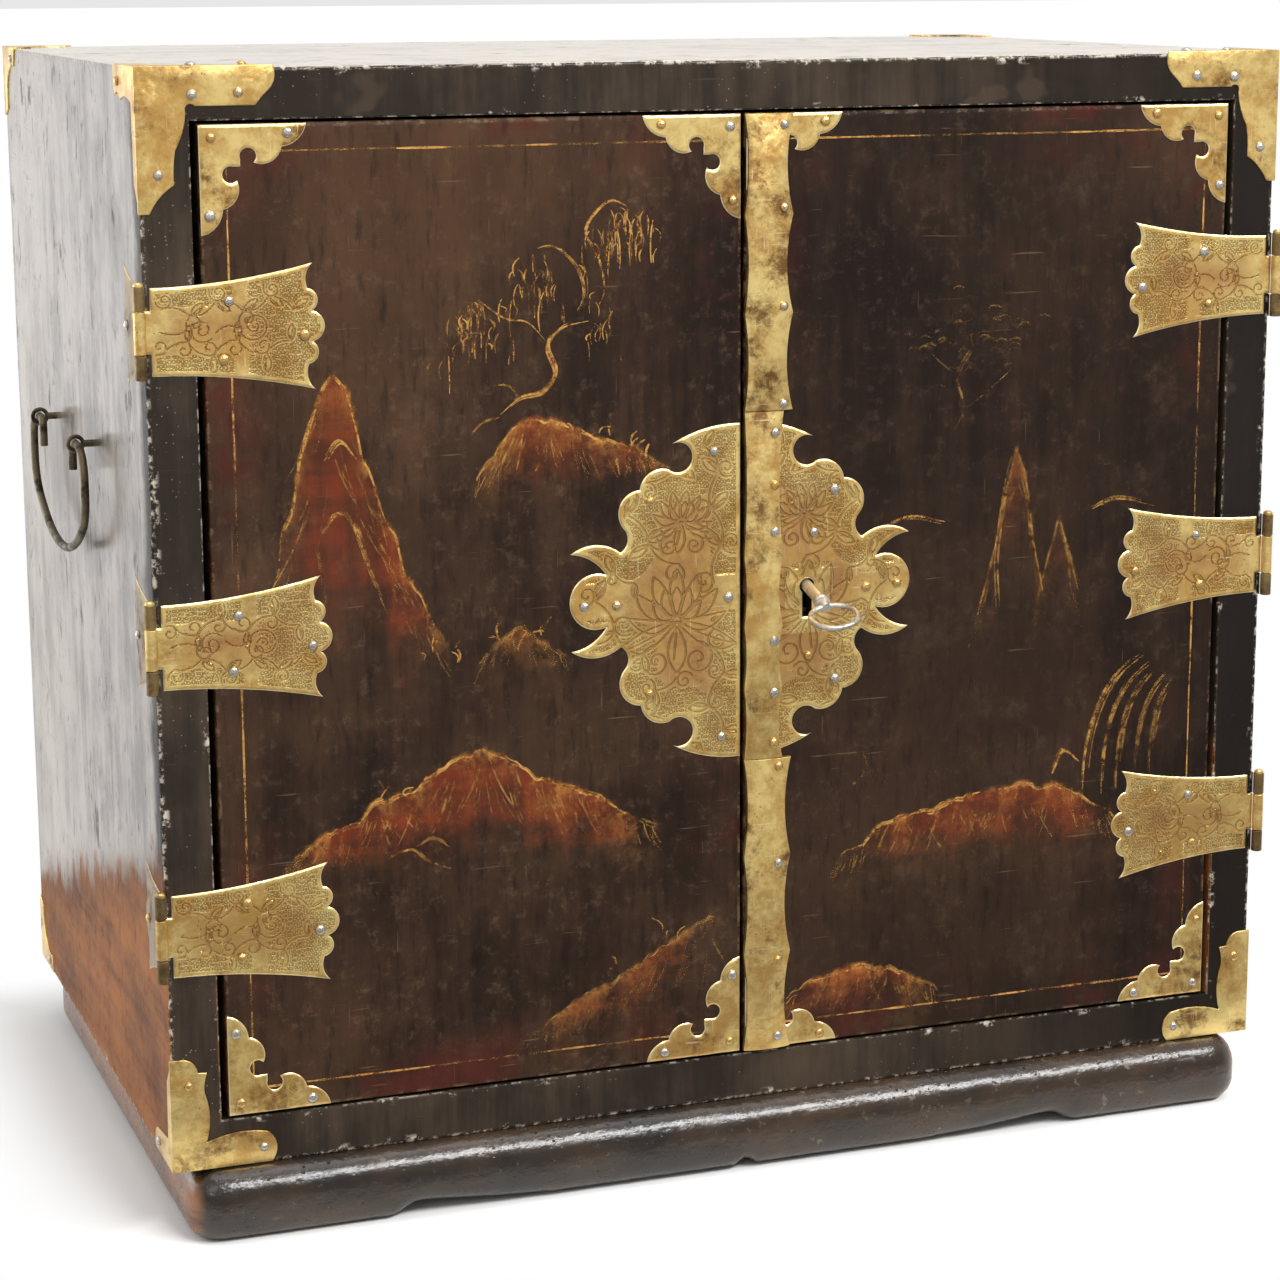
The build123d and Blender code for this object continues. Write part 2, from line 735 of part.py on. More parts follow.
# Nails of the carcass: front, side, top and rear of its mounts, and the hinge leaves
face_nails = front_nails([(half_width - a, height - c) for a, c in ((19, 9), (35.5, 8.5), (6.5, 36.5))])
face_nails += front_nails([(half_width - a, c) for a, c in ((6, 33), (33.5, 6))])
side_nail = Rot(0, 0, 90) * nail
side_spots = [(29, height - 5), (23, 4.5), (depth - 21, height - 4), (depth - 21, 4)]
side_nails = [Pos(half_width + sheet, y, z) * side_nail for y, z in side_spots]
top_nail = Rot(-90, 0, 0) * nail
end_nails = [Pos(half_width - a, b, height + sheet) * top_nail for a, b in ((38, 3.5), (20, 4))]
back_nail = Rot(0, 0, 180) * nail
back_nails = [Pos(half_width - a, depth + sheet, z) * back_nail for a, z in ((21, height - 4), (21, 4))]
right_nails = face_nails + side_nails + end_nails + back_nails
leaf_nails = [Pos(half_width + sheet, leaf_length - 5, z) * side_nail for z in right_hinges]
left_leaf_nails = [swap_sides(Pos(0, 0, -left_hinge_drop) * piece) for piece in leaf_nails]
save("carcass_nails", *right_nails, *[swap_sides(piece) for piece in right_nails], *leaf_nails, *left_leaf_nails)

# Bails: a wire loop whose hooked ends hang in two eyes
corner_y = bail_half - bail_corner
rise = bail_drop - bail_shoulder_drop
sag_radius = (corner_y**2 + rise**2 - bail_corner**2) / (2 * (rise - bail_corner))
sag_middle = sag_radius - bail_drop
lean_y = corner_y / (sag_radius - bail_corner)
lean_z = -sqrt(1 - lean_y**2)
touch = (lean_y * sag_radius, sag_middle + lean_z * sag_radius)
corner_turn = (1 + lean_y, lean_z)
turn_size = sqrt(corner_turn[0] ** 2 + corner_turn[1] ** 2)
corner_mid = (
    corner_y + bail_corner * corner_turn[0] / turn_size,
    -bail_shoulder_drop + bail_corner * corner_turn[1] / turn_size,
)
seat_out = bail_half - bail_shoulder
seat_in = seat_out - bail_seat
near = sqrt(0.5)
half_path = [
    ThreePointArc(touch, corner_mid, (bail_half, -bail_shoulder_drop)),
    Line((bail_half, -bail_shoulder_drop), (bail_half, -bail_shoulder)),
    ThreePointArc(
        (bail_half, -bail_shoulder),
        (seat_out + bail_shoulder * near, bail_shoulder * near - bail_shoulder),
        (seat_out, 0),
    ),
    Line((seat_out, 0), (seat_in, 0)),
    ThreePointArc(
        (seat_in, 0),
        (seat_in - bail_hook * near, bail_hook * near - bail_hook),
        (seat_in - bail_hook, -bail_hook),
    ),
    Line((seat_in - bail_hook, -bail_hook), (seat_in - bail_hook, -bail_hook - bail_tail)),
]
base = ThreePointArc((-touch[0], touch[1]), (0, -bail_drop), touch)
path = Wire([base] + half_path + [mirror(edge, about=Plane.YZ).edge() for edge in half_path])
path = Plane((half_width + bail_standoff, bail_back, bail_height), x_dir=(0, 1, 0), z_dir=(1, 0, 0)) * path
start = path.position_at(0)
right_bail = sweep(Plane(start, z_dir=path.tangent_at(0)) * RegularPolygon(bail_wire, 6), path=path)
save("right_bail", right_bail)
save("left_bail", swap_sides(right_bail))
eye_hole = bail_wire + eye_play
eye_ring = RegularPolygon(eye_hole + eye_wall, 8) - Circle(eye_hole)


def eye(y):
    place = Plane((half_width + bail_standoff, y - eye_thick / 2, bail_height), x_dir=(1, 0, 0), z_dir=(0, 1, 0))
    shank = rod(eye_shank, (half_width - eye_depth, half_width + bail_standoff - eye_hole), y, bail_height, 8)
    return extrude(place * eye_ring, amount=eye_thick) + shank - extrude(place * Circle(eye_hole), amount=eye_thick)


eyes = [eye(bail_back - eye_along), eye(bail_back + eye_along)]
save("bail_eyes", *eyes, *[swap_sides(piece) for piece in eyes])
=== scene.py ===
import bpy
import bmesh
import json
import math
import random
import numpy as np
from mathutils import Matrix, Vector, noise
from mathutils.geometry import delaunay_2d_cdt


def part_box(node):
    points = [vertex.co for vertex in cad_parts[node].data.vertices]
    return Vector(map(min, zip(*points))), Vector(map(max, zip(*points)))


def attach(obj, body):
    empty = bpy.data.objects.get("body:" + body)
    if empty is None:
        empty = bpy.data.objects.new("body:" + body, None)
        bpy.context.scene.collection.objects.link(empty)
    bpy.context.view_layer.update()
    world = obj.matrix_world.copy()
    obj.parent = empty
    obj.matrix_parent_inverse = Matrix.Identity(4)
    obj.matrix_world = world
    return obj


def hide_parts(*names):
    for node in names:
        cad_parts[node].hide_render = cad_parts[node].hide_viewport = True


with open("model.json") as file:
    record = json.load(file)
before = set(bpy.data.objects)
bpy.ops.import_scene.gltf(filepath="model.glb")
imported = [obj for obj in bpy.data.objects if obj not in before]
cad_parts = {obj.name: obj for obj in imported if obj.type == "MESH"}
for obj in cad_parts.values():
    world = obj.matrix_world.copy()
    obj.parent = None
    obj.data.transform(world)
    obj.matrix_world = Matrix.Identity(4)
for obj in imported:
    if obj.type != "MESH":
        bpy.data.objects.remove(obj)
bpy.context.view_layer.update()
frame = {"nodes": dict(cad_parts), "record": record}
nodes = frame["nodes"]
record = frame["record"]
bodyOf = {node: body for body, names in record["behaviour"]["bodies"].items() for node in names}
slotOf = {part["node"]: part["material_slot"] for part in record["subparts"]}
mm = 0.001
sheet = 1.0  # thickness of the brass, in millimetres
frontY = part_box("carcass_left_side")[0].y  # front face of the carcass
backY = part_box("carcass_left_side")[1].y
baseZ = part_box("carcass_bottom")[0].z  # underside of the carcass
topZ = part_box("carcass_top")[1].z
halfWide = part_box("carcass_right_side")[1].x
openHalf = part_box("right_lining")[1].x  # the opening of the front
openLow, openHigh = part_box("right_lining")[0].z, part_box("right_lining")[1].z
lockZ = (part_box("left_lock_plate")[0].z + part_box("left_lock_plate")[1].z) / 2
caseHalf = halfWide / mm
lockHigh = (lockZ - baseZ) / mm


def at(x, y, z):  # millimetres from the middle of the front's lower edge
    return Vector((x * mm, frontY + y * mm, baseZ + z * mm))


def rgb(red, green, blue):  # screen colour, 0 to 255, as a linear one
    linear = [((c / 255 + 0.055) / 1.055) ** 2.4 for c in (red, green, blue)]
    return (*linear, 1.0)


# a socket that takes part in sums
class Tap:
    def __init__(self, finish, socket):
        self.finish = finish
        self.socket = socket

    def sum(self, kind, *values):
        return self.finish.add("ShaderNodeMath", {"operation": kind}, values)

    def __add__(self, other):
        return self.sum("ADD", self, other)

    def __sub__(self, other):
        return self.sum("SUBTRACT", self, other)

    def __rsub__(self, other):
        return self.sum("SUBTRACT", other, self)

    def __mul__(self, other):
        return self.sum("MULTIPLY", self, other)

    def __abs__(self):
        return self.sum("ABSOLUTE", self)

    __radd__ = __add__
    __rmul__ = __mul__

    def least(self, other):
        return self.sum("MINIMUM", self, other)

    def most(self, other):
        return self.sum("MAXIMUM", self, other)


# one material, or the world, and the nodes that it is made of
class Finish:
    def __init__(self, name, look=None, owners=bpy.data.materials, coordinates="Object"):
        self.owner = owners.new(name)
        self.owner.use_nodes = True
        self.tree = self.owner.node_tree
        self.tree.nodes.clear()
        self.look = look
        self.place = self.add("ShaderNodeTexCoord", out=coordinates)
        self.x, self.y, self.z = (self.part(self.place, axis) for axis in "XYZ")

    def add(self, kind, settings=None, values=(), out=0):
        node = self.tree.nodes.new(kind)
        for key, value in (settings or {}).items():
            setattr(node, key, value)
        for key, value in values.items() if isinstance(values, dict) else enumerate(values):
            if isinstance(value, Tap):
                self.tree.links.new(value.socket, node.inputs[key])
            else:
                node.inputs[key].default_value = value
        return Tap(self, node.outputs[out]) if node.outputs else None

    def part(self, vector, axis):
        return self.add("ShaderNodeSeparateXYZ", {}, (vector,), axis)

    def facing(self, axis):  # how far the surface faces along an axis of its own piece
        return self.part(self.add("ShaderNodeTexCoord", out="Normal"), axis)

    def ray(self, kind):
        return self.add("ShaderNodeLightPath", out=kind)

    def spread(self, stretch, shift=0.0):
        wide = self.add("ShaderNodeVectorMath", {"operation": "MULTIPLY"}, (self.place, stretch))
        move = (shift, shift * 0.7, shift * 1.3)
        return self.add("ShaderNodeVectorMath", {"operation": "ADD"}, (wide, move))

    def cloud(self, scale, detail=4.0, rough=0.6, stretch=(1.0, 1.0, 1.0), shift=0.0, warp=0.0):
        values = {"Vector": self.spread(stretch, shift), "Scale": scale, "Detail": detail}
        return self.add("ShaderNodeTexNoise", {}, {**values, "Roughness": rough, "Distortion": warp})

    def cells(self, scale, stretch=(1.0, 1.0, 1.0), loose=1.0):
        values = {"Vector": self.spread(stretch), "Scale": scale, "Randomness": loose}
        return self.add("ShaderNodeTexVoronoi", {}, values, "Distance")

    def step(self, value, low, high):
        settings = {"interpolation_type": "SMOOTHSTEP"}
        return self.add("ShaderNodeMapRange", settings, (value, low, high, 0.0, 1.0))

    def blend(self, share, first, second):  # a colour is a name in the look, or comes from other nodes
        first, second = (self.look[c] if isinstance(c, str) else c for c in (first, second))
        return self.add("ShaderNodeMix", {"data_type": "RGBA"}, {0: share, 6: first, 7: second}, 2)

    def lay(self, share, colour, under=None):  # one more layer of the base colour
        self.base = self.blend(share, under or self.base, colour)

    def field(self, name):
        return self.add("ShaderNodeAttribute", {"attribute_name": name}, (), "Fac")

    def bump(self, height, distance):
        return self.add("ShaderNodeBump", {}, {"Strength": 1.0, "Distance": distance, "Height": height})

    def close(self, **values):
        values = {key.replace("_", " "): value for key, value in values.items()}
        shader = self.add("ShaderNodeBsdfPrincipled", {}, {"Base Color": self.base, **values})
        self.add("ShaderNodeOutputMaterial", {}, {"Surface": shader})
        return self.owner


# worn black lacquer of the case, hazed on its sides and top with a painted sheen, over bare wood low on the
# sides
caseLook = {
    # the pale haze colours are partly hazed old lacquer, partly painted sheen
    "deep": rgb(20, 15, 11), "dark": rgb(36, 29, 23), "brown": rgb(68, 56, 44), "dim": rgb(78, 64, 51),
    "hazeAndSheen": rgb(142, 127, 110), "topHazeAndSheen": rgb(202, 188, 168), "glint": rgb(196, 186, 170),
    "bare": rgb(156, 98, 50), "bareDark": rgb(94, 54, 27),
    "lineFront": 118.0, "lineSlope": 0.2824,  # where the bare wood begins, and its fall to the back
}


def caseLacquer():
    f = Finish("case_lacquer", caseLook)
    side = f.step(abs(f.facing("X")), 0.55, 0.85)
    top = f.step(f.facing("Z"), 0.55, 0.85) * f.step(f.z, topZ - 0.006, topZ - 0.003)
    wide = halfWide - abs(f.x)
    deep = f.y - frontY
    tall = (topZ - f.z).least(f.z - baseZ)
    outer = wide.least(deep).most(wide.most(deep).least(tall))  # second nearest face is the nearest edge
    middle = (openLow + openHigh) / 2
    mouth = (abs(f.x) - openHalf).most(abs(f.z - middle) - (openHigh - openLow) / 2)
    edge = outer.least(abs(mouth).most(deep) + 0.0007)  # the mouth's edge is less chipped
    broad = f.cloud(11.0, 5.0, 0.62)
    patch = f.cloud(34.0, 5.0, 0.66, shift=6.0)
    fine = f.cloud(190.0, 4.0, 0.65, shift=3.0)
    grain = f.cloud(95.0, 5.0, 0.68, (1.0, 1.0, 0.1), 1.7)  # upright streaks
    specks = f.step(f.cells(430.0), 0.13, 0.05) * f.step(patch, 0.46, 0.6)
    f.lay(f.step(broad * 0.6 + grain * 0.4, 0.4, 0.64), "brown", "dark")
    # pale specks on the front and top, painted glints
    f.lay(specks * (1 - side) * 0.4, "glint")
    # painted shade: the front and top get darker towards the right
    f.lay(f.step(f.x, 0.0, 0.22) * (1 - side) * 0.9, "deep")
    # haze with a painted sheen, which stops short of the front edge
    mixed = f.step(broad * 0.3 + patch * 0.35 + grain * 0.35, 0.4, 0.58)
    hazedAndSheen = f.blend(f.step(deep, 0.09, 0.27) * 0.25, f.blend(mixed, "dim", "hazeAndSheen"), "topHazeAndSheen")
    reach = f.step(deep + patch * 0.02, 0.015, 0.027)
    f.lay(side * reach * (0.8 + fine * 0.2), hazedAndSheen)
    # the top hazed and paler, partly painted sheen
    f.lay(top * f.step(patch * 0.4 + fine * 0.3 + broad * 0.3, 0.2, 0.56), "topHazeAndSheen")
    large = f.step(f.cloud(55.0, 6.0, 0.74, (1.0, 1.0, 0.45), 21.0), 0.61, 0.65) * (side + top)
    small = f.step(f.cloud(260.0, 5.0, 0.7, (1.0, 1.0, 0.6), 17.0), 0.63, 0.68)
    flakes = large.most(small * f.step(broad, 0.44, 0.56) * side)
    flakes = flakes.most(f.step(f.cloud(130.0, 5.0, 0.74, (1.0, 1.0, 0.5), 14.0), 0.6, 0.68) * side * 0.8)
    f.lay(flakes * 0.7, "brown")
    # bare wood, with level grain and darker near its upper end
    drop = deep * -caseLook["lineSlope"] + (baseZ + caseLook["lineFront"] * mm)
    bare = side * f.step(drop - f.z + patch * 0.04 + grain * 0.03 - 0.035, -0.01, 0.008)
    level = f.cloud(60.0, 6.0, 0.68, (1.0, 0.08, 1.0), 4.0)
    wood = f.blend(f.step(broad * 0.3 + patch * 0.25 + level * 0.45, 0.38, 0.6), "bareDark", "bare")
    wood = f.blend(f.step(drop - f.z, 0.03, 0.0) * 0.45, wood, "bareDark")
    wood = f.blend(f.step(fine, 0.55, 0.75) * 0.4, wood, "bareDark")
    f.lay(bare, wood)
    chips = f.step(f.cloud(250.0, 5.0, 0.7, shift=2.0), 0.49, 0.58) * f.step(edge, 0.0015, 0.0003)
    chips = chips.most(f.step(f.cloud(70.0, 5.0, 0.7, shift=12.0), 0.6, 0.66) * f.step(edge, 0.0035, 0.001))
    # pale chips at the edges, partly worn lacquer, partly painted glints
    f.lay(chips * 0.8, "glint")
    scratch = f.step(f.cloud(28.0, 3.0, 0.5, (1.0, 1.0, 22.0), 9.0), 0.69, 0.73)
    scratch = scratch.most(f.step(f.cloud(26.0, 3.0, 0.5, (1.0, 16.0, 1.0), 7.0), 0.7, 0.74))
    f.lay(scratch * 0.3, "dim")
    height = broad * 0.6 + patch * 0.3 + fine * 0.1 + grain * 0.15
    height = height - chips * 0.3 - flakes * 0.35 - scratch * 0.1
    clean = (0.68 + mixed * 0.32) * (0.8 + f.step(f.z, 0.16, 0.38) * 0.2)
    coat = (0.08 + side * reach * clean + top).least(1.0) * (1 - bare) * (1 - flakes * 0.8)
    return f.close(Roughness=0.3 + fine * 0.2 + bare * 0.12 + chips * 0.15, Normal=f.bump(height, 0.0013),
                   Coat_Weight=coat, Coat_Roughness=0.2, Coat_IOR=2.0, Specular_IOR_Level=0.08)


# lacquer of the plinth, worn to the wood at its ends
plinthLook = {
    "dark": rgb(27, 20, 13), "brown": rgb(64, 46, 29), "pale": rgb(150, 140, 122),
    "bare": caseLook["bare"], "bareDark": caseLook["bareDark"],
}


def plinthLacquer():
    f = Finish("plinth_lacquer", plinthLook)
    broad = f.cloud(16.0, 5.0, 0.6)
    lumps = f.cloud(75.0, 4.0, 0.6, shift=5.0)
    fine = f.cloud(260.0, 4.0, 0.65)
    along = f.cloud(90.0, 5.0, 0.66, (0.16, 0.16, 1.0), 2.0)
    f.lay(f.step(broad * 0.6 + along * 0.4, 0.4, 0.66), "brown", "dark")
    side = f.step(abs(f.facing("X")), 0.5, 0.9)
    f.lay(side * 0.75, f.blend(f.step(along, 0.36, 0.6), "bareDark", "bare"))
    pits = f.step(f.cells(330.0), 0.22, 0.08) * f.step(f.cloud(36.0, shift=4.0), 0.45, 0.6)
    worn = f.step(f.cloud(150.0, 5.0, 0.7, shift=7.0), 0.6, 0.68) * f.step(broad, 0.44, 0.6)
    f.lay(worn * 0.3, "pale")
    height = broad * 0.4 + lumps * 0.4 + along * 0.2 + fine * 0.14 - pits * 0.4
    return f.close(Roughness=0.16 + fine * 0.18 + worn * 0.2, Normal=f.bump(height, 0.0015),
                   Specular_IOR_Level=0.7)


# dark brown lacquer of the doors, with the hills of its painting in the fields hill and glow
doorLook = {
    "dark": rgb(25, 14, 8), "brown": rgb(54, 36, 23), "warm": rgb(84, 58, 38), "red": rgb(74, 20, 14),
    "shade": rgb(18, 10, 6), "dust": rgb(114, 90, 64), "rust": rgb(104, 38, 14), "umber": rgb(66, 29, 12),
    "gold": rgb(196, 136, 60), "goldDim": rgb(128, 74, 30),
}


def doorLacquer():
    f = Finish("door_lacquer", doorLook)
    broad = f.cloud(9.0, 5.0, 0.62, shift=1.0)
    patch = f.cloud(36.0, 6.0, 0.7, shift=6.0)
    fine = f.cloud(230.0, 4.0, 0.7)
    streak = f.cloud(70.0, 6.0, 0.7, (1.0, 1.0, 0.08), 2.0)
    level = f.cloud(90.0, 4.0, 0.62, (0.08, 1.0, 1.0), 5.0)
    f.lay(f.step(broad * 0.45 + streak * 0.35 + patch * 0.2, 0.4, 0.6), "brown", "dark")
    f.lay(f.step(f.cloud(5.0, 4.0, 0.55, shift=12.0) + level * 0.1, 0.48, 0.74) * 0.5, "warm")
    corner = f.step(f.z, 0.29, 0.43) * f.step(f.x, 0.0, -0.06)  # paler at the top left
    f.lay(corner * (0.25 + patch * 0.3), "warm")
    f.lay(f.step(fine, 0.52, 0.74) * 0.2, "dust")
    f.lay(f.step(f.cloud(300.0, 4.0, 0.7, (1.0, 1.0, 0.2), 9.0), 0.5, 0.7) * 0.5, "shade")
    right = f.step(f.x, -0.02, 0.05)  # painted shade: the right door is darker
    f.lay(right * (0.3 + f.step(broad, 0.4, 0.6) * 0.35), "shade")
    cloudy = f.step(patch * 0.7 + fine * 0.3, 0.5, 0.68) * f.step(broad, 0.4, 0.62)
    f.lay(cloudy * 0.1, "dust")
    wide = openHalf - 0.003 - abs(f.x)
    tall = (openHigh - 0.0015 - f.z).least(f.z - openLow - 0.0015)
    edge = wide.least(tall).least(abs(f.x) - 0.001)
    f.lay(f.step(edge, 0.03, 0.002) * f.step(f.cloud(22.0, 4.0, 0.6, shift=3.0), 0.5, 0.68) * 0.6, "red")
    # hills in rust, with gold dust under their ridges
    wear = f.cloud(75.0, 6.0, 0.74, shift=8.0)
    dry = f.cloud(330.0, 4.0, 0.7, (1.0, 1.0, 0.7), 3.0)
    body = f.step(f.field("hill") + (wear - 0.5) * 0.9 + (streak - 0.5) * 0.7, 0.14, 0.8)
    f.lay(body * 0.9, f.blend(f.step(broad * 0.3 + level * 0.4 + streak * 0.3, 0.42, 0.58), "umber", "rust"))
    shine = f.field("glow") * f.step(wear * 0.7 + streak * 0.3, 0.42, 0.6)
    f.lay(shine * 0.85, f.blend(f.step(wear * 0.6 + dry * 0.4, 0.42, 0.6), "goldDim", "gold"))
    fleck = f.step(f.cells(420.0), 0.12, 0.04) * f.step(f.cloud(24.0, shift=11.0), 0.5, 0.64)
    f.lay(fleck * 0.4, "dust")
    scratch = f.step(f.cloud(34.0, 3.0, 0.5, (26.0, 1.0, 1.0), 4.0), 0.7, 0.74)
    scratch = scratch.most(f.step(f.cloud(30.0, 3.0, 0.5, (1.0, 1.0, 24.0), 7.0), 0.71, 0.75))
    f.lay(scratch * 0.35, "dust")
    chips = f.step(edge, 0.0014, 0.0004) * f.step(f.cloud(200.0, 4.0, 0.7, shift=2.0), 0.48, 0.6)
    f.lay(chips * 0.5, "dust")
    height = broad * 0.5 + patch * 0.15 + fine * 0.1 + streak * 0.15 + shine * 0.1 - chips * 0.2
    return f.close(Roughness=0.34 + fine * 0.2 + cloudy * 0.12 + body * 0.06, Normal=f.bump(height, 0.001),
                   Specular_IOR_Level=0.16)


# worn gold of the painted lines, as strong as the field power
goldLook = {"bright": rgb(226, 172, 88), "dim": rgb(158, 100, 44)}


def goldPaint():
    f = Finish("gold_paint", goldLook)
    wear = f.cloud(120.0, 6.0, 0.74, shift=8.0)
    dry = f.cloud(520.0, 4.0, 0.7, shift=3.0)
    f.lay(f.step(wear * 0.6 + dry * 0.4, 0.42, 0.6), "bright", "dim")
    power = f.field("power")
    left = f.step(wear * 0.6 + dry * 0.4 + power * 0.14, 0.44, 0.62) * power
    return f.close(Roughness=0.36 + dry * 0.2, Metallic=0.4, Alpha=left)


# aged brass: the fields line, rim, core and ground carry the engraving where a piece has it; rim also carries
# a painted highlight along the edges
brassLook = {
    "bright": rgb(240, 212, 138), "brass": rgb(204, 160, 90), "brown": rgb(112, 76, 40),
    "red": rgb(176, 120, 70), "cut": rgb(110, 80, 46), "edge": rgb(250, 232, 186),
}
bronzeLook = {
    "bright": rgb(150, 126, 84), "brass": rgb(108, 88, 56), "brown": rgb(62, 46, 30),
    "red": rgb(96, 68, 42), "cut": rgb(60, 46, 30), "edge": rgb(196, 172, 122),
}


def agedBrass(name, dull, look=brassLook):
    f = Finish(name, look)
    broad = f.cloud(22.0, 5.0, 0.62, shift=1.0)
    waves = f.cloud(60.0, 3.0, 0.5, shift=7.0)
    fine = f.cloud(420.0, 4.0, 0.7)
    mottle = f.cloud(110.0, 6.0, 0.72, shift=4.0)
    f.lay(f.step(mottle * 0.6 + broad * 0.4, 0.4, 0.6), "bright", "brass")
    f.lay(f.field("core") * f.step(broad * 0.4 + mottle * 0.6, 0.38, 0.56) * 0.8, "red")
    stain = f.step(f.cloud(44.0, 6.0, 0.74, shift=9.0), 0.5, 0.66)
    f.lay(stain * dull, "brown")
    spots = f.step(f.cells(520.0), 0.22, 0.08) * f.step(f.cloud(40.0, shift=6.0), 0.48, 0.6)
    f.lay(spots * 0.7, "brown")
    # painted highlight along the rims, partly edges rubbed bright
    f.lay(f.step(f.field("rim") + mottle * 0.4 - 0.2, 0.5, 0.95) * 0.8, "edge")
    line = f.step(f.field("line") + mottle * 0.2 - 0.1, 0.35, 0.75)
    rings = f.cells(640.0, (1.0, 0.0, 1.0), 0.35)
    punch = f.step(abs(rings - 0.4), 0.17, 0.06) * f.step(f.field("ground"), 0.35, 0.65)
    f.lay(line * 0.34, "cut")
    f.lay(punch * 0.5, "brown")
    scuff = f.step(f.cloud(60.0, 3.0, 0.5, (18.0, 1.0, 1.0), 3.0), 0.68, 0.72)
    scuff = scuff.most(f.step(f.cloud(60.0, 3.0, 0.5, (1.0, 1.0, 18.0), 5.0), 0.68, 0.72))
    f.lay(scuff * 0.4, "edge")
    height = broad * 0.5 + waves * 0.9 + mottle * 0.2 + fine * 0.04 - line * 0.8 - punch * 0.4
    rough = 0.25 + mottle * 0.14 + stain * 0.22 + line * 0.1
    return f.close(Roughness=rough, Metallic=0.85, Normal=f.bump(height, 0.0011))


# domed nail heads, some of steel and some of brass by the field tint
nailLook = {"steel": rgb(196, 190, 180), "brass": rgb(214, 176, 110), "grime": rgb(86, 74, 62)}


def nailMetal():
    f = Finish("nail_metal", nailLook)
    f.lay(f.step(f.field("tint"), 0.62, 0.66), "brass", "steel")
    dirt = f.step(f.cloud(700.0, 4.0, 0.7), 0.5, 0.68)
    f.lay(dirt * 0.6, "grime")
    height = f.cloud(900.0, 3.0, 0.6)
    return f.close(Roughness=0.26 + dirt * 0.25, Metallic=0.9, Normal=f.bump(height, 0.0002))


# steel of the key and dark iron of the bails and the lock
steelLook = {"clean": rgb(214, 208, 198), "dark": rgb(140, 130, 116)}
ironLook = {"clean": rgb(112, 100, 80), "dark": rgb(48, 41, 34)}


def wornIron(name, look, shine):
    f = Finish(name, look)
    mottle = f.cloud(230.0, 6.0, 0.7)
    rust = f.step(f.cloud(90.0, 5.0, 0.7, shift=3.0), 0.46, 0.64)
    f.lay(rust, "dark", "clean")
    f.lay(f.step(mottle, 0.6, 0.72) * 0.4, "dark")
    rough = shine + mottle * 0.2 + rust * 0.15
    return f.close(Roughness=rough, Metallic=0.85, Normal=f.bump(mottle, 0.0003))


# plain wood of the nest and the drawers
woodLook = {"pale": rgb(150, 112, 72), "deep": rgb(104, 72, 44), "soot": rgb(58, 42, 30)}


def drawerWood():
    f = Finish("drawer_wood", woodLook)
    rings = f.cloud(30.0, 6.0, 0.66, (1.0, 0.07, 1.0), 2.0, 0.8)
    pores = f.cloud(420.0, 4.0, 0.7, (1.0, 0.05, 1.0))
    f.lay(f.step(rings, 0.36, 0.64), "pale", "deep")
    f.lay(f.step(pores, 0.56, 0.74) * 0.5, "soot")
    f.lay(f.step(f.cloud(12.0, 4.0), 0.5, 0.75) * 0.4, "soot")
    return f.close(Roughness=0.62 + pores * 0.2, Normal=f.bump(rings * 0.5 + pores * 0.3, 0.0005))


# lacquer of the drawer fronts
frontLook = {"dark": rgb(44, 29, 22), "brown": rgb(70, 44, 30), "gold": rgb(176, 124, 58)}


def drawerLacquer():
    f = Finish("drawer_lacquer", frontLook)
    broad = f.cloud(14.0, 5.0, 0.62)
    fine = f.cloud(220.0, 4.0, 0.66)
    f.lay(f.step(broad, 0.36, 0.68), "brown", "dark")
    f.lay(f.step(f.cloud(60.0, 6.0, 0.72, shift=5.0), 0.6, 0.74) * 0.3, "gold")
    return f.close(Roughness=0.34 + fine * 0.2, Normal=f.bump(broad * 0.5 + fine * 0.1, 0.0008))


finishOf = {
    "black_lacquer": caseLacquer(), "door_lacquer": doorLacquer(), "drawer_wood": drawerWood(),
    "drawer_lacquer": drawerLacquer(), "engraved_brass": agedBrass("engraved_brass", 0.38),
    "plain_brass": agedBrass("plain_brass", 0.95), "nail_metal": nailMetal(),
    "steel": wornIron("worn_steel", steelLook, 0.24), "iron": wornIron("dark_iron", ironLook, 0.36),
}
plinthFinish = plinthLacquer()
leafFinish = agedBrass("leaf_bronze", 0.7, bronzeLook)
goldFinish = goldPaint()
for name, node in nodes.items():
    node.data.materials.clear()
    node.data.materials.append(finishOf["iron" if name == "lock_case" else slotOf[name]])
print("materials:", len(bpy.data.materials))


def showMesh(mesh, finish, sharp):
    mesh.materials.clear()
    mesh.materials.append(finish)
    mesh.shade_smooth()
    mesh.set_sharp_from_angle(angle=math.radians(sharp))
    piece = bpy.data.objects.new(mesh.name, mesh)
    bpy.context.scene.collection.objects.link(piece)
    return piece


def newPiece(name, verts, faces, finish, sharp=32.0):
    mesh = bpy.data.meshes.new(name)
    mesh.from_pydata([tuple(v) for v in verts], [], faces)
    mesh.validate()
    return showMesh(mesh, finish, sharp)


def join(solids):  # several solids as one list of points and one of faces
    verts, faces = [], []
    for points, sides in solids:
        faces += [tuple(len(verts) + k for k in side) for side in sides]
        verts += points
    return verts, faces


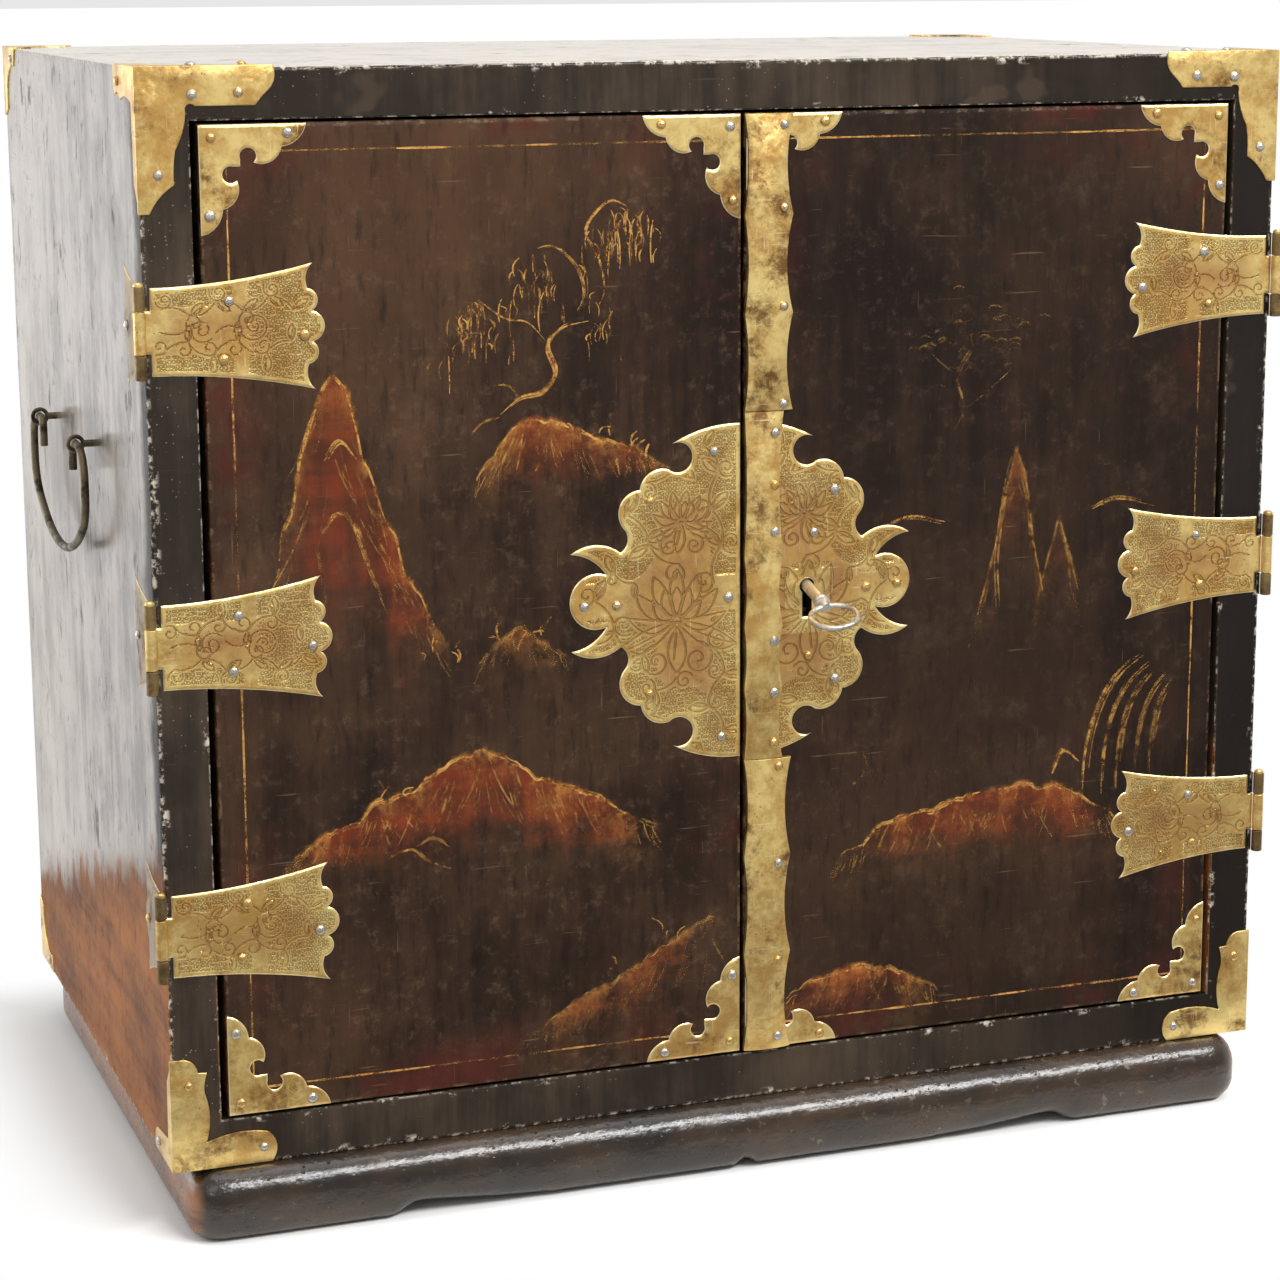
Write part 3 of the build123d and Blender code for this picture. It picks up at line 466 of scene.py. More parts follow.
def netFaces(rows, tall, closed=True):  # faces of a net whose rows are rings, with ends unless it is closed
    faces = []
    for i in range(rows if closed else rows - 1):
        n = (i + 1) % rows
        for j in range(tall):
            m = (j + 1) % tall
            faces.append((i * tall + j, i * tall + m, n * tall + m, n * tall + j))
    if not closed:
        faces.append(tuple(range(tall))[::-1])
        faces.append(tuple((rows - 1) * tall + j for j in range(tall)))
    return faces


def standFor(piece, *cadNodes):
    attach(piece, bodyOf[cadNodes[0]])
    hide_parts(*cadNodes)


def setField(piece, name, values):
    field = piece.data.attributes.new(name, "FLOAT", "POINT")
    field.data.foreach_set("value", np.asarray(values, np.float32))


def tidyMesh(node):  # the node's mesh with its doubled corners joined
    mesh = bmesh.new()
    mesh.from_mesh(nodes[node].data)
    bmesh.ops.remove_doubles(mesh, verts=mesh.verts, dist=1e-6)
    return mesh


easeSize = {"flat": math.radians(1), "keen": math.radians(40), "segments": 2, "sharp": 38.0}


def easedCopy(name, node, width):  # a copy of a node with its edges eased
    size = easeSize
    mesh = tidyMesh(node)
    bmesh.ops.dissolve_limit(mesh, angle_limit=size["flat"], verts=mesh.verts, edges=mesh.edges)
    keen = [e for e in mesh.edges if len(e.link_faces) == 2 and e.calc_face_angle(0.0) > size["keen"]]
    bmesh.ops.bevel(mesh, geom=keen, offset=width * mm, segments=size["segments"], profile=0.5,
                    affect="EDGES", clamp_overlap=True)
    bmesh.ops.triangulate(mesh, faces=[face for face in mesh.faces if len(face.verts) > 4])
    data = bpy.data.meshes.new(name)
    mesh.to_mesh(data)
    mesh.free()
    standFor(showMesh(data, finishOf[slotOf[node]], size["sharp"]), node)


# rough skin of lacquer over the boards of the case
skinSize = {
    "thick": 0.45, "round": 1.5, "step": 3.2, "deepStep": 6.5, "corner": 1.4, "cornerWay": 0.72, "lip": 0.05,
    "mouth": 4.0, "pastBack": 0.1, "dent": 0.22, "dentScale": 0.035, "chip": 0.35, "chipGain": 2.4,
    "chipScale": 0.11, "chipFrom": 0.12, "chipReach": 2.2,
}


def caseSkin():
    size = skinSize
    thick, ease, step = size["thick"], size["round"], size["step"]
    wide, high, deep = caseHalf, (topZ - baseZ) / mm, (backY - frontY) / mm
    inWide, inLow, inHigh = openHalf / mm, (openLow - baseZ) / mm, (openHigh - baseZ) / mm
    outer = [(-wide, 0.0), (wide, 0.0), (wide, high), (-wide, high)]
    inner = [(-inWide, inLow), (inWide, inLow), (inWide, inHigh), (-inWide, inHigh)]
    ring = []  # pairs of points, on the outer and the inner outline, with the way out
    for k in range(4):
        a, b, c, d = outer[k], outer[(k + 1) % 4], inner[k], inner[(k + 1) % 4]
        length = math.dist(a, b)
        out = ((b[1] - a[1]) / length, -(b[0] - a[0]) / length)
        end = size["corner"] / length
        between = np.linspace(step / length, 1 - step / length, int(length / step))
        for t in (0.0, end, *between, 1 - end):
            p = (a[0] + (b[0] - a[0]) * t, a[1] + (b[1] - a[1]) * t)
            q = (c[0] + (d[0] - c[0]) * t, c[1] + (d[1] - c[1]) * t)
            slant = (np.sign(a[0]) * size["cornerWay"], np.sign(a[1] - high / 2) * size["cornerWay"])
            ring.append((p, q, out if t else slant))
    turn = [math.radians(a) for a in (0, 30, 60, 90)]
    last = deep + size["pastBack"]
    # share of the way from the inner to the outer outline, way out, depth
    profile = [(0.0, 0.0, size["mouth"]), (0.0, -size["lip"], ease - thick), (0.0, -size["lip"], 0.5)]
    profile += [(0.03, 0.0, -thick * 0.75)]
    profile += [(share, 0.0, -thick) for share in (0.09, 0.3, 0.5, 0.7, 0.86)]
    profile += [(1.0, thick - ease + ease * math.sin(a), ease - thick - ease * math.cos(a)) for a in turn]
    profile += [(1.0, thick, y) for y in np.linspace(ease + 2, deep - 0.3, int(deep / size["deepStep"]))]
    profile += [(1.0, thick * 0.5, last), (1.0, -1.0, last), (1.0, 0.0, 6.0), (0.5, 0.0, 0.0)]
    verts = []
    for p, q, way in ring:
        for share, off, y in profile:
            x = q[0] + (p[0] - q[0]) * share + way[0] * off
            z = q[1] + (p[1] - q[1]) * share + way[1] * off
            spot = Vector((x, y, z))
            outside = share == 1.0
            dent = abs(noise.noise(spot * size["dentScale"])) * size["dent"]
            if outside and 0 <= y + thick <= size["chipReach"] and off > -1.0:
                bite = max(0.0, noise.noise(spot * size["chipScale"]) - size["chipFrom"])
                dent += bite * size["chip"] * size["chipGain"]
            faced = outside and off > 0
            back = Vector((way[0] if faced else 0.0, -1.0 if y <= 0.4 else 0.0, way[1] if faced else 0.0))
            verts.append(at(*(spot - back * dent)))
    faces = netFaces(len(ring), len(profile))
    piece = newPiece("case_lacquer_skin", verts, faces, finishOf["black_lacquer"])
    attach(piece, "carcass")


caseSkin()

# plinth: a rounded moulding with low arches under its front
plinthSize = {
    "half": 221.0, "front": -9.0, "back": 276.0, "corner": 13.0, "rail": 20.0, "high": 28.0,
    "topRound": 12.0, "lowRound": 9.0, "foot": 76.0, "arch": 5.0, "archLong": 64.0, "archTop": 12.0,
    "archDeep": 14.0, "lift": 0.8, "notch": 3.0, "dent": 0.5, "dented": (-27.0, -0.5), "step": 3.0,
    "turn": 15,
}


def archRise(x):
    size = plinthSize
    run = size["half"] - size["foot"] - abs(x)
    if run < 0:
        return 0.0
    rise = size["lift"]
    if run < size["archLong"]:
        climb = min(1.0, run / (size["arch"] * 2.4))
        fall = 0.5 + 0.5 * math.cos(math.pi * run / size["archLong"])
        rise = max(rise * climb, size["arch"] * climb * climb * (3 - 2 * climb) * (0.25 + 0.75 * fall))
    if abs(x) < size["notch"] * 2:
        rise += size["notch"] * (0.5 + 0.5 * math.cos(math.pi * abs(x) / size["notch"] / 2)) ** 2
    return rise


def plinth():
    size = plinthSize
    corner, low = size["corner"], -size["high"]
    wide, front, back = size["half"] - corner, size["front"] + corner, size["back"] - corner
    spots = [(wide, front, 1, -1), (wide, back, 1, 1), (-wide, back, -1, 1), (-wide, front, -1, -1)]
    path = []  # middle of the corner or place along a rail, way out, signs at a corner
    for k, (x, y, *signs) in enumerate(spots):
        first = 90 * k - 90
        angles = [math.radians(a) for a in range(first, first + 91, size["turn"])]
        ways = [(math.cos(a), math.sin(a)) for a in angles]
        path += [((x, y), way, signs) for way in ways]
        nx, ny = spots[(k + 1) % 4][:2]
        count = int(math.dist((x, y), (nx, ny)) / size["step"])
        for t in np.linspace(0, 1, count)[1:-1]:
            path.append(((x + (nx - x) * t, y + (ny - y) * t), ways[-1], None))
    steps = [math.radians(a) for a in range(0, 91, size["turn"])]
    upper, lower = size["topRound"], size["lowRound"]
    profile = [(upper * (1 - math.sin(a)), -upper * (1 - math.cos(a))) for a in steps]
    profile += [(lower * (1 - math.cos(a)), low + lower * (1 - math.sin(a))) for a in steps]
    profile += [(size["rail"], low), (size["rail"], 0.0)]
    verts = []
    for (x, y), way, signs in path:
        for inset, z in profile:
            if signs and inset > corner - 0.5:
                px, py = x - signs[0] * (inset - corner), y - signs[1] * (inset - corner)
            else:
                px, py = x + way[0] * (corner - inset), y + way[1] * (corner - inset)
            if way[1] < -0.9:
                z += archRise(px) * max(0.0, min(1.0, (-z - size["archTop"]) / size["archDeep"]))
            spot = Vector((px, py, z))
            dent = abs(noise.noise(spot * 0.05)) * 0.7 + max(0.0, noise.noise(spot * 0.16)) * 0.5
            if size["dented"][0] < z < size["dented"][1] and inset < size["rail"]:
                px, py = px - way[0] * (dent * size["dent"]), py - way[1] * (dent * size["dent"])
            verts.append(at(px, py, z))
    faces = [(a, d, c, b) for a, b, c, d in netFaces(len(path), len(profile))]
    piece = newPiece("plinth_moulding", verts, faces, plinthFinish, 50.0)
    standFor(piece, "plinth_front", "plinth_left", "plinth_right", "plinth_back")


plinth()
print("case and plinth dressed")


def curve(a, b, c, count=10):  # a bow from a to c, drawn towards b
    t = np.linspace(0, 1, count)[:, None]
    a, b, c = (np.array(p, float) for p in (a, b, c))
    return (1 - t) ** 2 * a + 2 * (1 - t) * t * b + t**2 * c


def scroll(x, z, radius, start, turns):  # a spiral inwards
    t = np.linspace(0, 1, 26)
    angle = math.radians(start) + turns * 2 * math.pi * t
    reach = radius * (1 - (1 - 0.14) * t)
    return np.stack([x + reach * np.cos(angle), z + reach * np.sin(angle)], 1)


farOff = 99.0  # stands for any distance past the reach of a line
lineReach = 6


def nearest(points, line):  # distance of each point from a line of points
    best = np.full(len(points), farOff)
    line = np.asarray(line, float)
    near = np.all((points > line.min(0) - lineReach) & (points < line.max(0) + lineReach), axis=1)
    some = points[near]
    far = np.full(len(some), farOff)
    for a, b in zip(line[:-1], line[1:]):
        d = b - a
        t = np.clip((some - a) @ d / max(d @ d, 1e-9), 0, 1)[:, None]
        far = np.minimum(far, np.linalg.norm(some - a - t * d, axis=1))
    best[near] = far
    return best


# painted landscape, in millimetres; a hill is a ridge, a foot and a strength
leftHills = [
    ([(-186, 186), (-181, 214), (-178, 238), (-174, 246), (-171, 264), (-167, 277), (-163, 288), (-158, 293),
      (-153, 288), (-150, 275), (-148, 262), (-144, 255), (-140, 240), (-136, 233), (-133, 218), (-127, 212),
      (-122, 198), (-114, 186)], 174, 0.85),
    ([(-184, 110), (-164, 124), (-152, 127), (-146, 135), (-130, 137), (-118, 147), (-104, 150), (-94, 146),
      (-84, 138), (-66, 132), (-52, 124), (-32, 112)], 104, 1.0),
    ([(-108, 248), (-95, 266), (-87, 274), (-76, 273), (-62, 267), (-44, 261), (-26, 250)], 244, 0.95),
    ([(-90, 34), (-66, 50), (-54, 53), (-42, 61), (-28, 69), (-18, 74), (-8, 76)], 30, 0.5),
    ([(-108, 180), (-97, 192), (-89, 196), (-80, 190), (-66, 180)], 176, 0.5),
]
rightHills = [
    ([(96, 178), (106, 212), (111, 238), (115, 252), (119, 240), (123, 214), (131, 178)], 164, 0.42),
    ([(122, 180), (130, 210), (134, 224), (138, 212), (147, 180)], 166, 0.32),
    ([(36, 90), (60, 106), (82, 111), (104, 115), (124, 116), (142, 112), (168, 95)], 84, 0.8),
    ([(6, 30), (28, 45), (46, 49), (62, 47), (88, 33)], 26, 0.8),
]
# a stroke is a line, half a width, a strength and how many hairs
leftStrokes = (
    ([(-96, 275), (-88, 281), (-79, 283), (-74, 290), (-77, 300), (-71, 307), (-61, 309)], 0.9, 0.95, 6),
    ([(-76, 300), (-84, 309), (-93, 311), (-103, 318)], 0.5, 0.7, 3),
    ([(-70, 307), (-63, 316), (-65, 327), (-74, 336), (-84, 334)], 0.5, 0.55, 3),
    ([(-61, 309), (-55, 318), (-57, 331), (-62, 342), (-53, 352), (-44, 349)], 0.5, 0.65, 3),
    ([(-96, 275), (-103, 273), (-108, 268)], 0.6, 0.6, 3),
    ([(-88, 281), (-92, 286), (-99, 287)], 0.5, 0.5, 2),
    ([(-162, 262), (-156, 269), (-150, 262)], 0.8, 0.6, 4),
    ([(-165, 234), (-157, 243), (-150, 236), (-146, 224)], 0.9, 0.55, 5),
    ([(-152, 240), (-146, 222), (-139, 204)], 0.9, 0.4, 5),
    ([(-166, 232), (-163, 214), (-164, 198)], 0.9, 0.3, 4),
    ([(-150, 104), (-142, 111), (-132, 114), (-126, 109), (-117, 105)], 0.5, 0.5, 3),
    ([(-132, 114), (-124, 118), (-116, 113)], 0.5, 0.45, 2),
)
rightStrokes = (
    ([(114, 250), (110, 232), (107, 208), (108, 188)], 0.9, 0.4, 5),
    ([(116, 246), (121, 226), (123, 198)], 0.9, 0.35, 4),
    ([(134, 222), (138, 208), (140, 192)], 0.7, 0.3, 3),
    ([(86, 256), (92, 268), (89, 281), (95, 293), (90, 304)], 0.7, 0.3, 4),
    ([(92, 268), (102, 275), (112, 283)], 0.5, 0.22, 2),
    ([(89, 281), (80, 288), (73, 296)], 0.5, 0.22, 2),
    ([(56, 223), (70, 227), (84, 224)], 0.8, 0.6, 4),
    ([(148, 225), (160, 229), (178, 225)], 0.8, 0.5, 4),
    ([(46, 122), (52, 129), (50, 136)], 0.5, 0.4, 2),
    ([(133, 119), (138, 128), (145, 123)], 0.7, 0.8, 4),
)
twigSpots = ((-105, 319, 12, 60), (-82, 335, 12, 40), (-46, 351, 15, 70), (-56, 320, 8, 16))
tuftSpots = ((-96, 192), (-84, 190), (-136, 138), (-60, 267), (-40, 260), (-30, 70), (-48, 58), (-120, 187))
paintSize = {"leftSeed": 41, "rightSeed": 59, "tufts": 40, "leaves": 60, "falls": 5, "ridgeStep": 1.2}
borderSize = {"inset": 9.5, "low": 19.5, "high": 382.5, "near": 1, "far": 204}


def crestOf(ridge, foot, x):  # height of a ridge, with its small steps
    ridge = np.array(ridge, float)
    ragged = []
    for v in x:
        coarse = noise.noise(Vector((v * 0.13, foot, 0.0))) * 2.4
        ragged.append(coarse + noise.noise(Vector((v * 0.4, foot, 3.0))))
    return np.interp(x, ridge[:, 0], ridge[:, 1], left=-farOff, right=-farOff) + np.array(ragged)


def soft(points, count=5):  # a soft line through points
    p = np.array(points, float)
    p = np.vstack([2 * p[0] - p[1], p, 2 * p[-1] - p[-2]])
    t = np.linspace(0, 1, count, endpoint=False)[:, None]
    spans = [0.5 * (2 * b + (c - a) * t + (2 * a - 5 * b + 4 * c - d) * t**2 + (3 * b - a - 3 * c + d) * t**3)
             for a, b, c, d in zip(p, p[1:], p[2:], p[3:])]
    return np.vstack(spans + [p[-2:-1]])


def hairs(draw, line, half, power, count):  # a dry brush leaves several hair lines
    found = []
    for _ in range(count):
        first = draw.randrange(0, max(1, len(line) // 3))
        last = max(first + 3, len(line) - draw.randrange(0, max(1, len(line) // 3)))
        shift = (draw.uniform(-half, half), draw.uniform(-half, half))
        found.append((line[first:last] + shift, draw.uniform(0.2, 0.45), power * draw.uniform(0.5, 1.0)))
    return found


def hillStrokes(draw, ridge, foot, power):
    x = np.arange(ridge[0][0] + 3, ridge[-1][0] - 3, paintSize["ridgeStep"])
    crest = np.stack([x, crestOf(ridge, foot, x)], 1)
    slope = np.gradient(crest[:, 1])
    lines = []
    for _ in range(len(x) // 2):  # short strokes along the ridge
        first = draw.randrange(0, len(x) - 4)
        part = crest[first:first + draw.randrange(4, 13)] - (0.0, abs(draw.gauss(0.2, 0.9)))
        fade = min(1.0, max(0.0, (part[:, 1].mean() - foot) / 22))
        lines.append((part, draw.uniform(0.2, 0.5), power * fade * draw.uniform(0.35, 1.0)))
    for _ in range(int(len(x) * 1.2)):  # finer strokes down the slopes
        first = draw.randrange(0, len(x))
        a, b = crest[first]
        b -= draw.uniform(1, 0.35 * max(b - foot, 4))
        long = draw.uniform(4, 5 + 0.4 * max(b - foot, 1))
        way = (-1 if slope[first] > 0 else 1) * draw.uniform(0.15, 0.6)
        part = curve((a, b), (a + way * long * 0.3, b - long * 0.5), (a + way * long, b - long), 6)
        lines.append((part, draw.uniform(0.16, 0.34), power * draw.uniform(0.1, 0.42)))
    return lines


def leftExtras(draw):
    lines = []
    for x0, z0, span, count in twigSpots:  # hanging twigs
        for _ in range(count):
            x = x0 + draw.gauss(0, 0.5) * span
            rise = z0 - min(1.0, ((x - x0) / span) ** 2) * 10 - draw.uniform(0, 16)
            fall = draw.uniform(2, 8) * draw.choice((1, 1, 2.0))
            sway = draw.uniform(-2, 2)
            part = curve((x, rise), (x + sway * 2, rise - fall * 0.4), (x + sway, rise - fall), 6)
            lines.append((part, draw.uniform(0.16, 0.34), draw.uniform(0.2, 0.75)))
    for _ in range(paintSize["tufts"]):  # tufts on the banks
        x, z = draw.choice(tuftSpots)
        x, z = x + draw.uniform(-8, 8), z + draw.uniform(-4, 3)
        tip = (x + draw.uniform(-5, 5), z + draw.uniform(2, 6))
        part = curve((x, z), (x + draw.uniform(-2, 2), z + 3), tip, 5)
        lines.append((part, draw.uniform(0.25, 0.5), draw.uniform(0.25, 0.7)))
    return lines


def rightExtras(draw):
    lines = []
    for k in range(paintSize["falls"]):  # falling water
        x = 148 + k * 7.5
        fall = curve((x, 106 + k * 2.5), (x - 1, 152 - k * 2), (x + 24 - k * 4.0, 164 - k * 3.0), 14)
        lines += hairs(draw, fall, 1.5, 0.5 - 0.05 * k, 7)
    for _ in range(paintSize["leaves"]):  # leaves of the pale tree
        x, z = draw.gauss(94, 13), draw.gauss(296, 9)
        part = curve((x, z), (x + 2, z + 2), (x + 5, z), 5)
        lines.append((part, draw.uniform(0.25, 0.5), draw.uniform(0.06, 0.2)))
    return lines


def border(draw, side):  # a broken line along three edges of a door
    size = borderSize
    low, high = size["low"] + size["inset"], size["high"] - size["inset"]
    near, far = side * (size["near"] + size["inset"]), side * (size["far"] - size["inset"])
    lines = []
    for ends in (((near, high), (far, high)), ((near, low), (far, low)), ((far, low), (far, high))):
        a, b = np.array(ends)
        start = 0.0
        while start < 0.97:
            end = min(1.0, start + draw.uniform(0.04, 0.16))
            part = a + (b - a) * np.linspace(start, end, 5)[:, None] + draw.uniform(-0.12, 0.12)
            lines.append((part, draw.uniform(0.3, 0.48), draw.choice((0.3, 0.45, 0.6, 0.75))))
            start = end - 0.004
    return lines


def paintingOf(side):
    draw = random.Random(paintSize["leftSeed" if side < 0 else "rightSeed"])
    hills, strokes, extras = leftHills, leftStrokes, leftExtras
    if side > 0:
        hills, strokes, extras = rightHills, rightStrokes, rightExtras
    lines = []
    for points, half, power, count in strokes:
        lines += hairs(draw, soft(points), half, power, count)
    for hill in hills:
        lines += hillStrokes(draw, *hill)
    lines += extras(draw)
    return hills, lines + border(draw, side)


# lacquer skins of the doors, with the painting on them
doorSize = {
    "thick": 0.35, "round": 1.1, "step": 1.3, "dent": 0.16, "chip": 0.35, "gold": 0.04, "goldRoot": -0.1,
    "keyway": (20.0, 33.0, 188.0, 211.0),  # left open behind the keyhole
}


def doorFace(side, x, z, out=0.0):  # a point on the slightly uneven face of a door
    dent = abs(noise.noise(Vector((x * 0.03, side * 7.0, z * 0.03)))) * doorSize["dent"]
    return at(x, dent - doorSize["thick"] - out, z)


def goldLines(name, node, side, lines):  # raised strokes with thin ends
    top, root = doorSize["gold"], doorSize["goldRoot"]
    solids, power = [], []
    for line, half, strong in lines:
        way = np.gradient(line, axis=0)
        way /= np.maximum(np.linalg.norm(way, axis=1), 1e-6)[:, None]
        count = len(line)
        points = []
        for k, ((x, z), (dx, dz)) in enumerate(zip(line, way)):
            w = half * (0.2 + 0.8 * math.sin(math.pi * (k + 0.4) / (count - 0.2)) ** 0.6)
            for hand, out in ((-1, top), (1, top), (1, root), (-1, root)):
                points.append(doorFace(side, x - dz * w * hand, z + dx * w * hand, out))
        solids.append((points, netFaces(count, 4, False)))
        power += [strong] * len(points)
    piece = newPiece(name, *join(solids), goldFinish)
    setField(piece, "power", power)
    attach(piece, bodyOf[node])


def hillFields(points, hills):  # how much rust and how much gold dust at each point
    x, z = points[:, 0], points[:, 1]
    hill, glow = np.zeros(len(points)), np.zeros(len(points))
    for ridge, foot, power in hills:
        top = crestOf(ridge, foot, x)
        share = np.clip((z - foot) / np.maximum(top - foot, 1.0), 0, 1)
        ends = np.minimum(x - ridge[0][0], ridge[-1][0] - x)
        within = np.clip((top - z) / 3.0 + 0.5, 0, 1) * np.clip(ends / 22, 0, 1)
        hill = np.maximum(hill, within * share**0.9 * power)
        down = np.maximum(top - z, 0)
        dusted = (0.5 * np.exp(-((down / 2.5) ** 2)) + 0.4 * np.exp(-down / 9)) * power
        dusted = dusted * np.clip((top - foot) / 14, 0, 1) * np.clip(ends / 12, 0, 1)
        glow = np.maximum(glow, dusted * np.clip((top - z) / 1.8 + 0.5, 0, 1))
    return {"hill": hill, "glow": glow}


def doorSkin(word, side):
    size = doorSize
    node = word + "_door_panel"
    low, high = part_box(node)
    x0, x1 = low.x / mm, high.x / mm
    z0, z1 = (low.z - baseZ) / mm, (high.z - baseZ) / mm
    ease = size["round"] - size["thick"]
    across = np.linspace(x0 + ease, x1 - ease, int((x1 - x0) / size["step"]))
    up = np.linspace(z0 + ease, z1 - ease, int((z1 - z0) / size["step"]))
    nx, nz = len(across), len(up)
    flat = [(x, z) for z in up for x in across]
    verts = [doorFace(side, x, z) for x, z in flat]
    left, right, bottom, top = size["keyway"]
    faces = []
    for j in range(nz - 1):
        for i in range(nx - 1):
            if not (left < across[i] < right and bottom < up[j] < top):
                a = j * nx + i
                faces.append((a, a + 1, a + nx + 1, a + nx))
    rim = list(range(nx)) + [j * nx + nx - 1 for j in range(1, nz)]
    rim += [(nz - 1) * nx + i for i in range(nx - 2, -1, -1)] + [j * nx for j in range(nz - 2, 0, -1)]
    loops = [rim]
    edge = [(ease * 0.72 + 0.2, -size["thick"] * 0.35)]  # way out and depth of the rounded edge
    edge += [(ease + 0.3, 0.5), (ease + 0.3, 1.6), (ease - 0.4, 1.2)]
    for out, y in edge:
        loop = []
        for k in rim:
            x, z = flat[k]
            ragged = max(0.0, noise.noise(Vector((x * 0.12, 3.0, z * 0.12)))) * size["chip"] if y < 0 else 0.0
            i, j = k % nx, k // nx
            dx = (i == nx - 1) - (i == 0)
            dz = (j == nz - 1) - (j == 0)
            loop.append(len(verts))
            verts.append(at(x + dx * (out - ragged), y, z + dz * (out - ragged)))
        loops.append(loop)
    count = len(rim)
    for a, b in zip(loops, loops[1:]):
        faces += [(a[k], b[k], b[(k + 1) % count], a[(k + 1) % count]) for k in range(count)]
    piece = newPiece(word + "_door_lacquer", verts, faces, finishOf["door_lacquer"])
    hills, lines = paintingOf(side)
    rest = np.zeros(len(verts) - len(flat))
    for field, values in hillFields(np.array(flat), hills).items():
        setField(piece, field, np.concatenate([values, rest]))
    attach(piece, bodyOf[node])
    goldLines(word + "_door_gold_lines", node, side, lines)


doorSkin("left", -1)
doorSkin("right", 1)
print("doors painted")


def outlinesOf(node, axis, level):  # loops of the flat face of each solid that lies at a level
    mesh = tidyMesh(node)
    flat = [face for face in mesh.faces if all(abs(v.co[axis] - level) < 2e-6 for v in face.verts)]
    chosen = set(flat)
    follow = {}
    for face in flat:
        for loop in face.loops:
            if sum(f in chosen for f in loop.edge.link_faces) == 1:
                follow.setdefault(loop.vert.index, []).append(loop.link_loop_next.vert.index)
    across, up = (a for a in range(3) if a != axis)
    spots = {v.index: (v.co[across], v.co[up]) for v in mesh.verts}
    loops = []
    while follow:
        start = here = next(iter(follow))
        loop = []
        while True:
            loop.append(spots[here])
            after = follow[here].pop()
            if not follow[here]:
                del follow[here]
            here = after
            if here == start:
                break
        loops.append(np.array(loop))
    mesh.free()
    return loops


def loopArea(loop):
    x, y = loop[:, 0], loop[:, 1]
    return 0.5 * abs(np.dot(x, np.roll(y, -1)) - np.dot(y, np.roll(x, -1)))


def inside(points, loop):
    x, y = points[:, 0], points[:, 1]
    hit = np.zeros(len(points), bool)
    for (ax, ay), (bx, by) in zip(loop, np.roll(loop, -1, axis=0)):
        cross = (ay > y) != (by > y)
        hit ^= cross & (x < (bx - ax) * (y - ay) / (by - ay + 1e-12) + ax)
    return hit


def edgeGap(points, loops):  # distance of each point from the nearest edge
    return np.minimum.reduce([nearest(points, np.vstack([loop, loop[:1]])) for loop in loops])


# engraved plates: how their points scatter, and how deep their edges, lines and dents are
plateSize = {
    "scatter": 0.12, "clear": 0.55, "bevel": 0.6, "bevelFall": 0.8, "lineFrom": 0.3, "lineDeep": 0.2,
    "dent": 0.1, "dentScale": 0.09, "rim": 1.1, "coreFrom": 4, "coreRun": 12,
}


def plateMesh(loops, step, ornament, seed):  # points, faces, how far out each point is, and fields
    size = plateSize
    rng = np.random.default_rng(seed)
    finer = []
    for loop in loops:
        pts = []
        for a, b in zip(loop, np.roll(loop, -1, axis=0)):
            count = max(1, int(math.dist(a, b) / step))
            pts += [a + (b - a) * k / count for k in range(count)]
        finer.append(np.array(pts))
    outer, *holes = finer
    lo, hi = outer.min(0), outer.max(0)
    grid = np.array([(x, z) for x in np.arange(lo[0], hi[0], step) for z in np.arange(lo[1], hi[1], step)])
    grid += rng.uniform(-size["scatter"], size["scatter"], grid.shape) * step
    keep = inside(grid, outer)
    for hole in holes:
        keep &= ~inside(grid, hole)
    grid = grid[keep]
    grid = grid[edgeGap(grid, finer) > step * size["clear"]]
    edges = []
    start = 0
    for loop in finer:
        count = len(loop)
        edges += [(start + k, start + (k + 1) % count) for k in range(count)]
        start += count
    found = delaunay_2d_cdt([Vector(p) for p in np.vstack(finer + [grid])], edges, [], 2, 1e-7)
    spots, faces = np.array([tuple(v) for v in found[0]]), found[2]
    for hole in holes:  # none over a hole
        over = inside(np.array([spots[list(face)].mean(0) for face in faces]), hole)
        faces = [face for face, covered in zip(faces, over) if not covered]
    gap = edgeGap(spots, finer)
    line, ground = ornament(spots, gap)
    depth = sheet - np.clip(size["bevel"] - gap, 0, size["bevel"]) * size["bevelFall"]
    depth -= np.clip(line - size["lineFrom"], 0, 1) * size["lineDeep"]
    scale = size["dentScale"]
    uneven = [abs(noise.noise(Vector((x * scale, z * scale, seed)))) for x, z in spots]
    depth -= size["dent"] * np.array(uneven)
    # rim carries the painted highlight along the edges
    rim = np.clip(1 - gap / size["rim"], 0, 1)
    core = np.clip((gap - size["coreFrom"]) / size["coreRun"], 0, 1)
    return spots, faces, depth, {"line": line, "rim": rim, "ground": ground, "core": core}


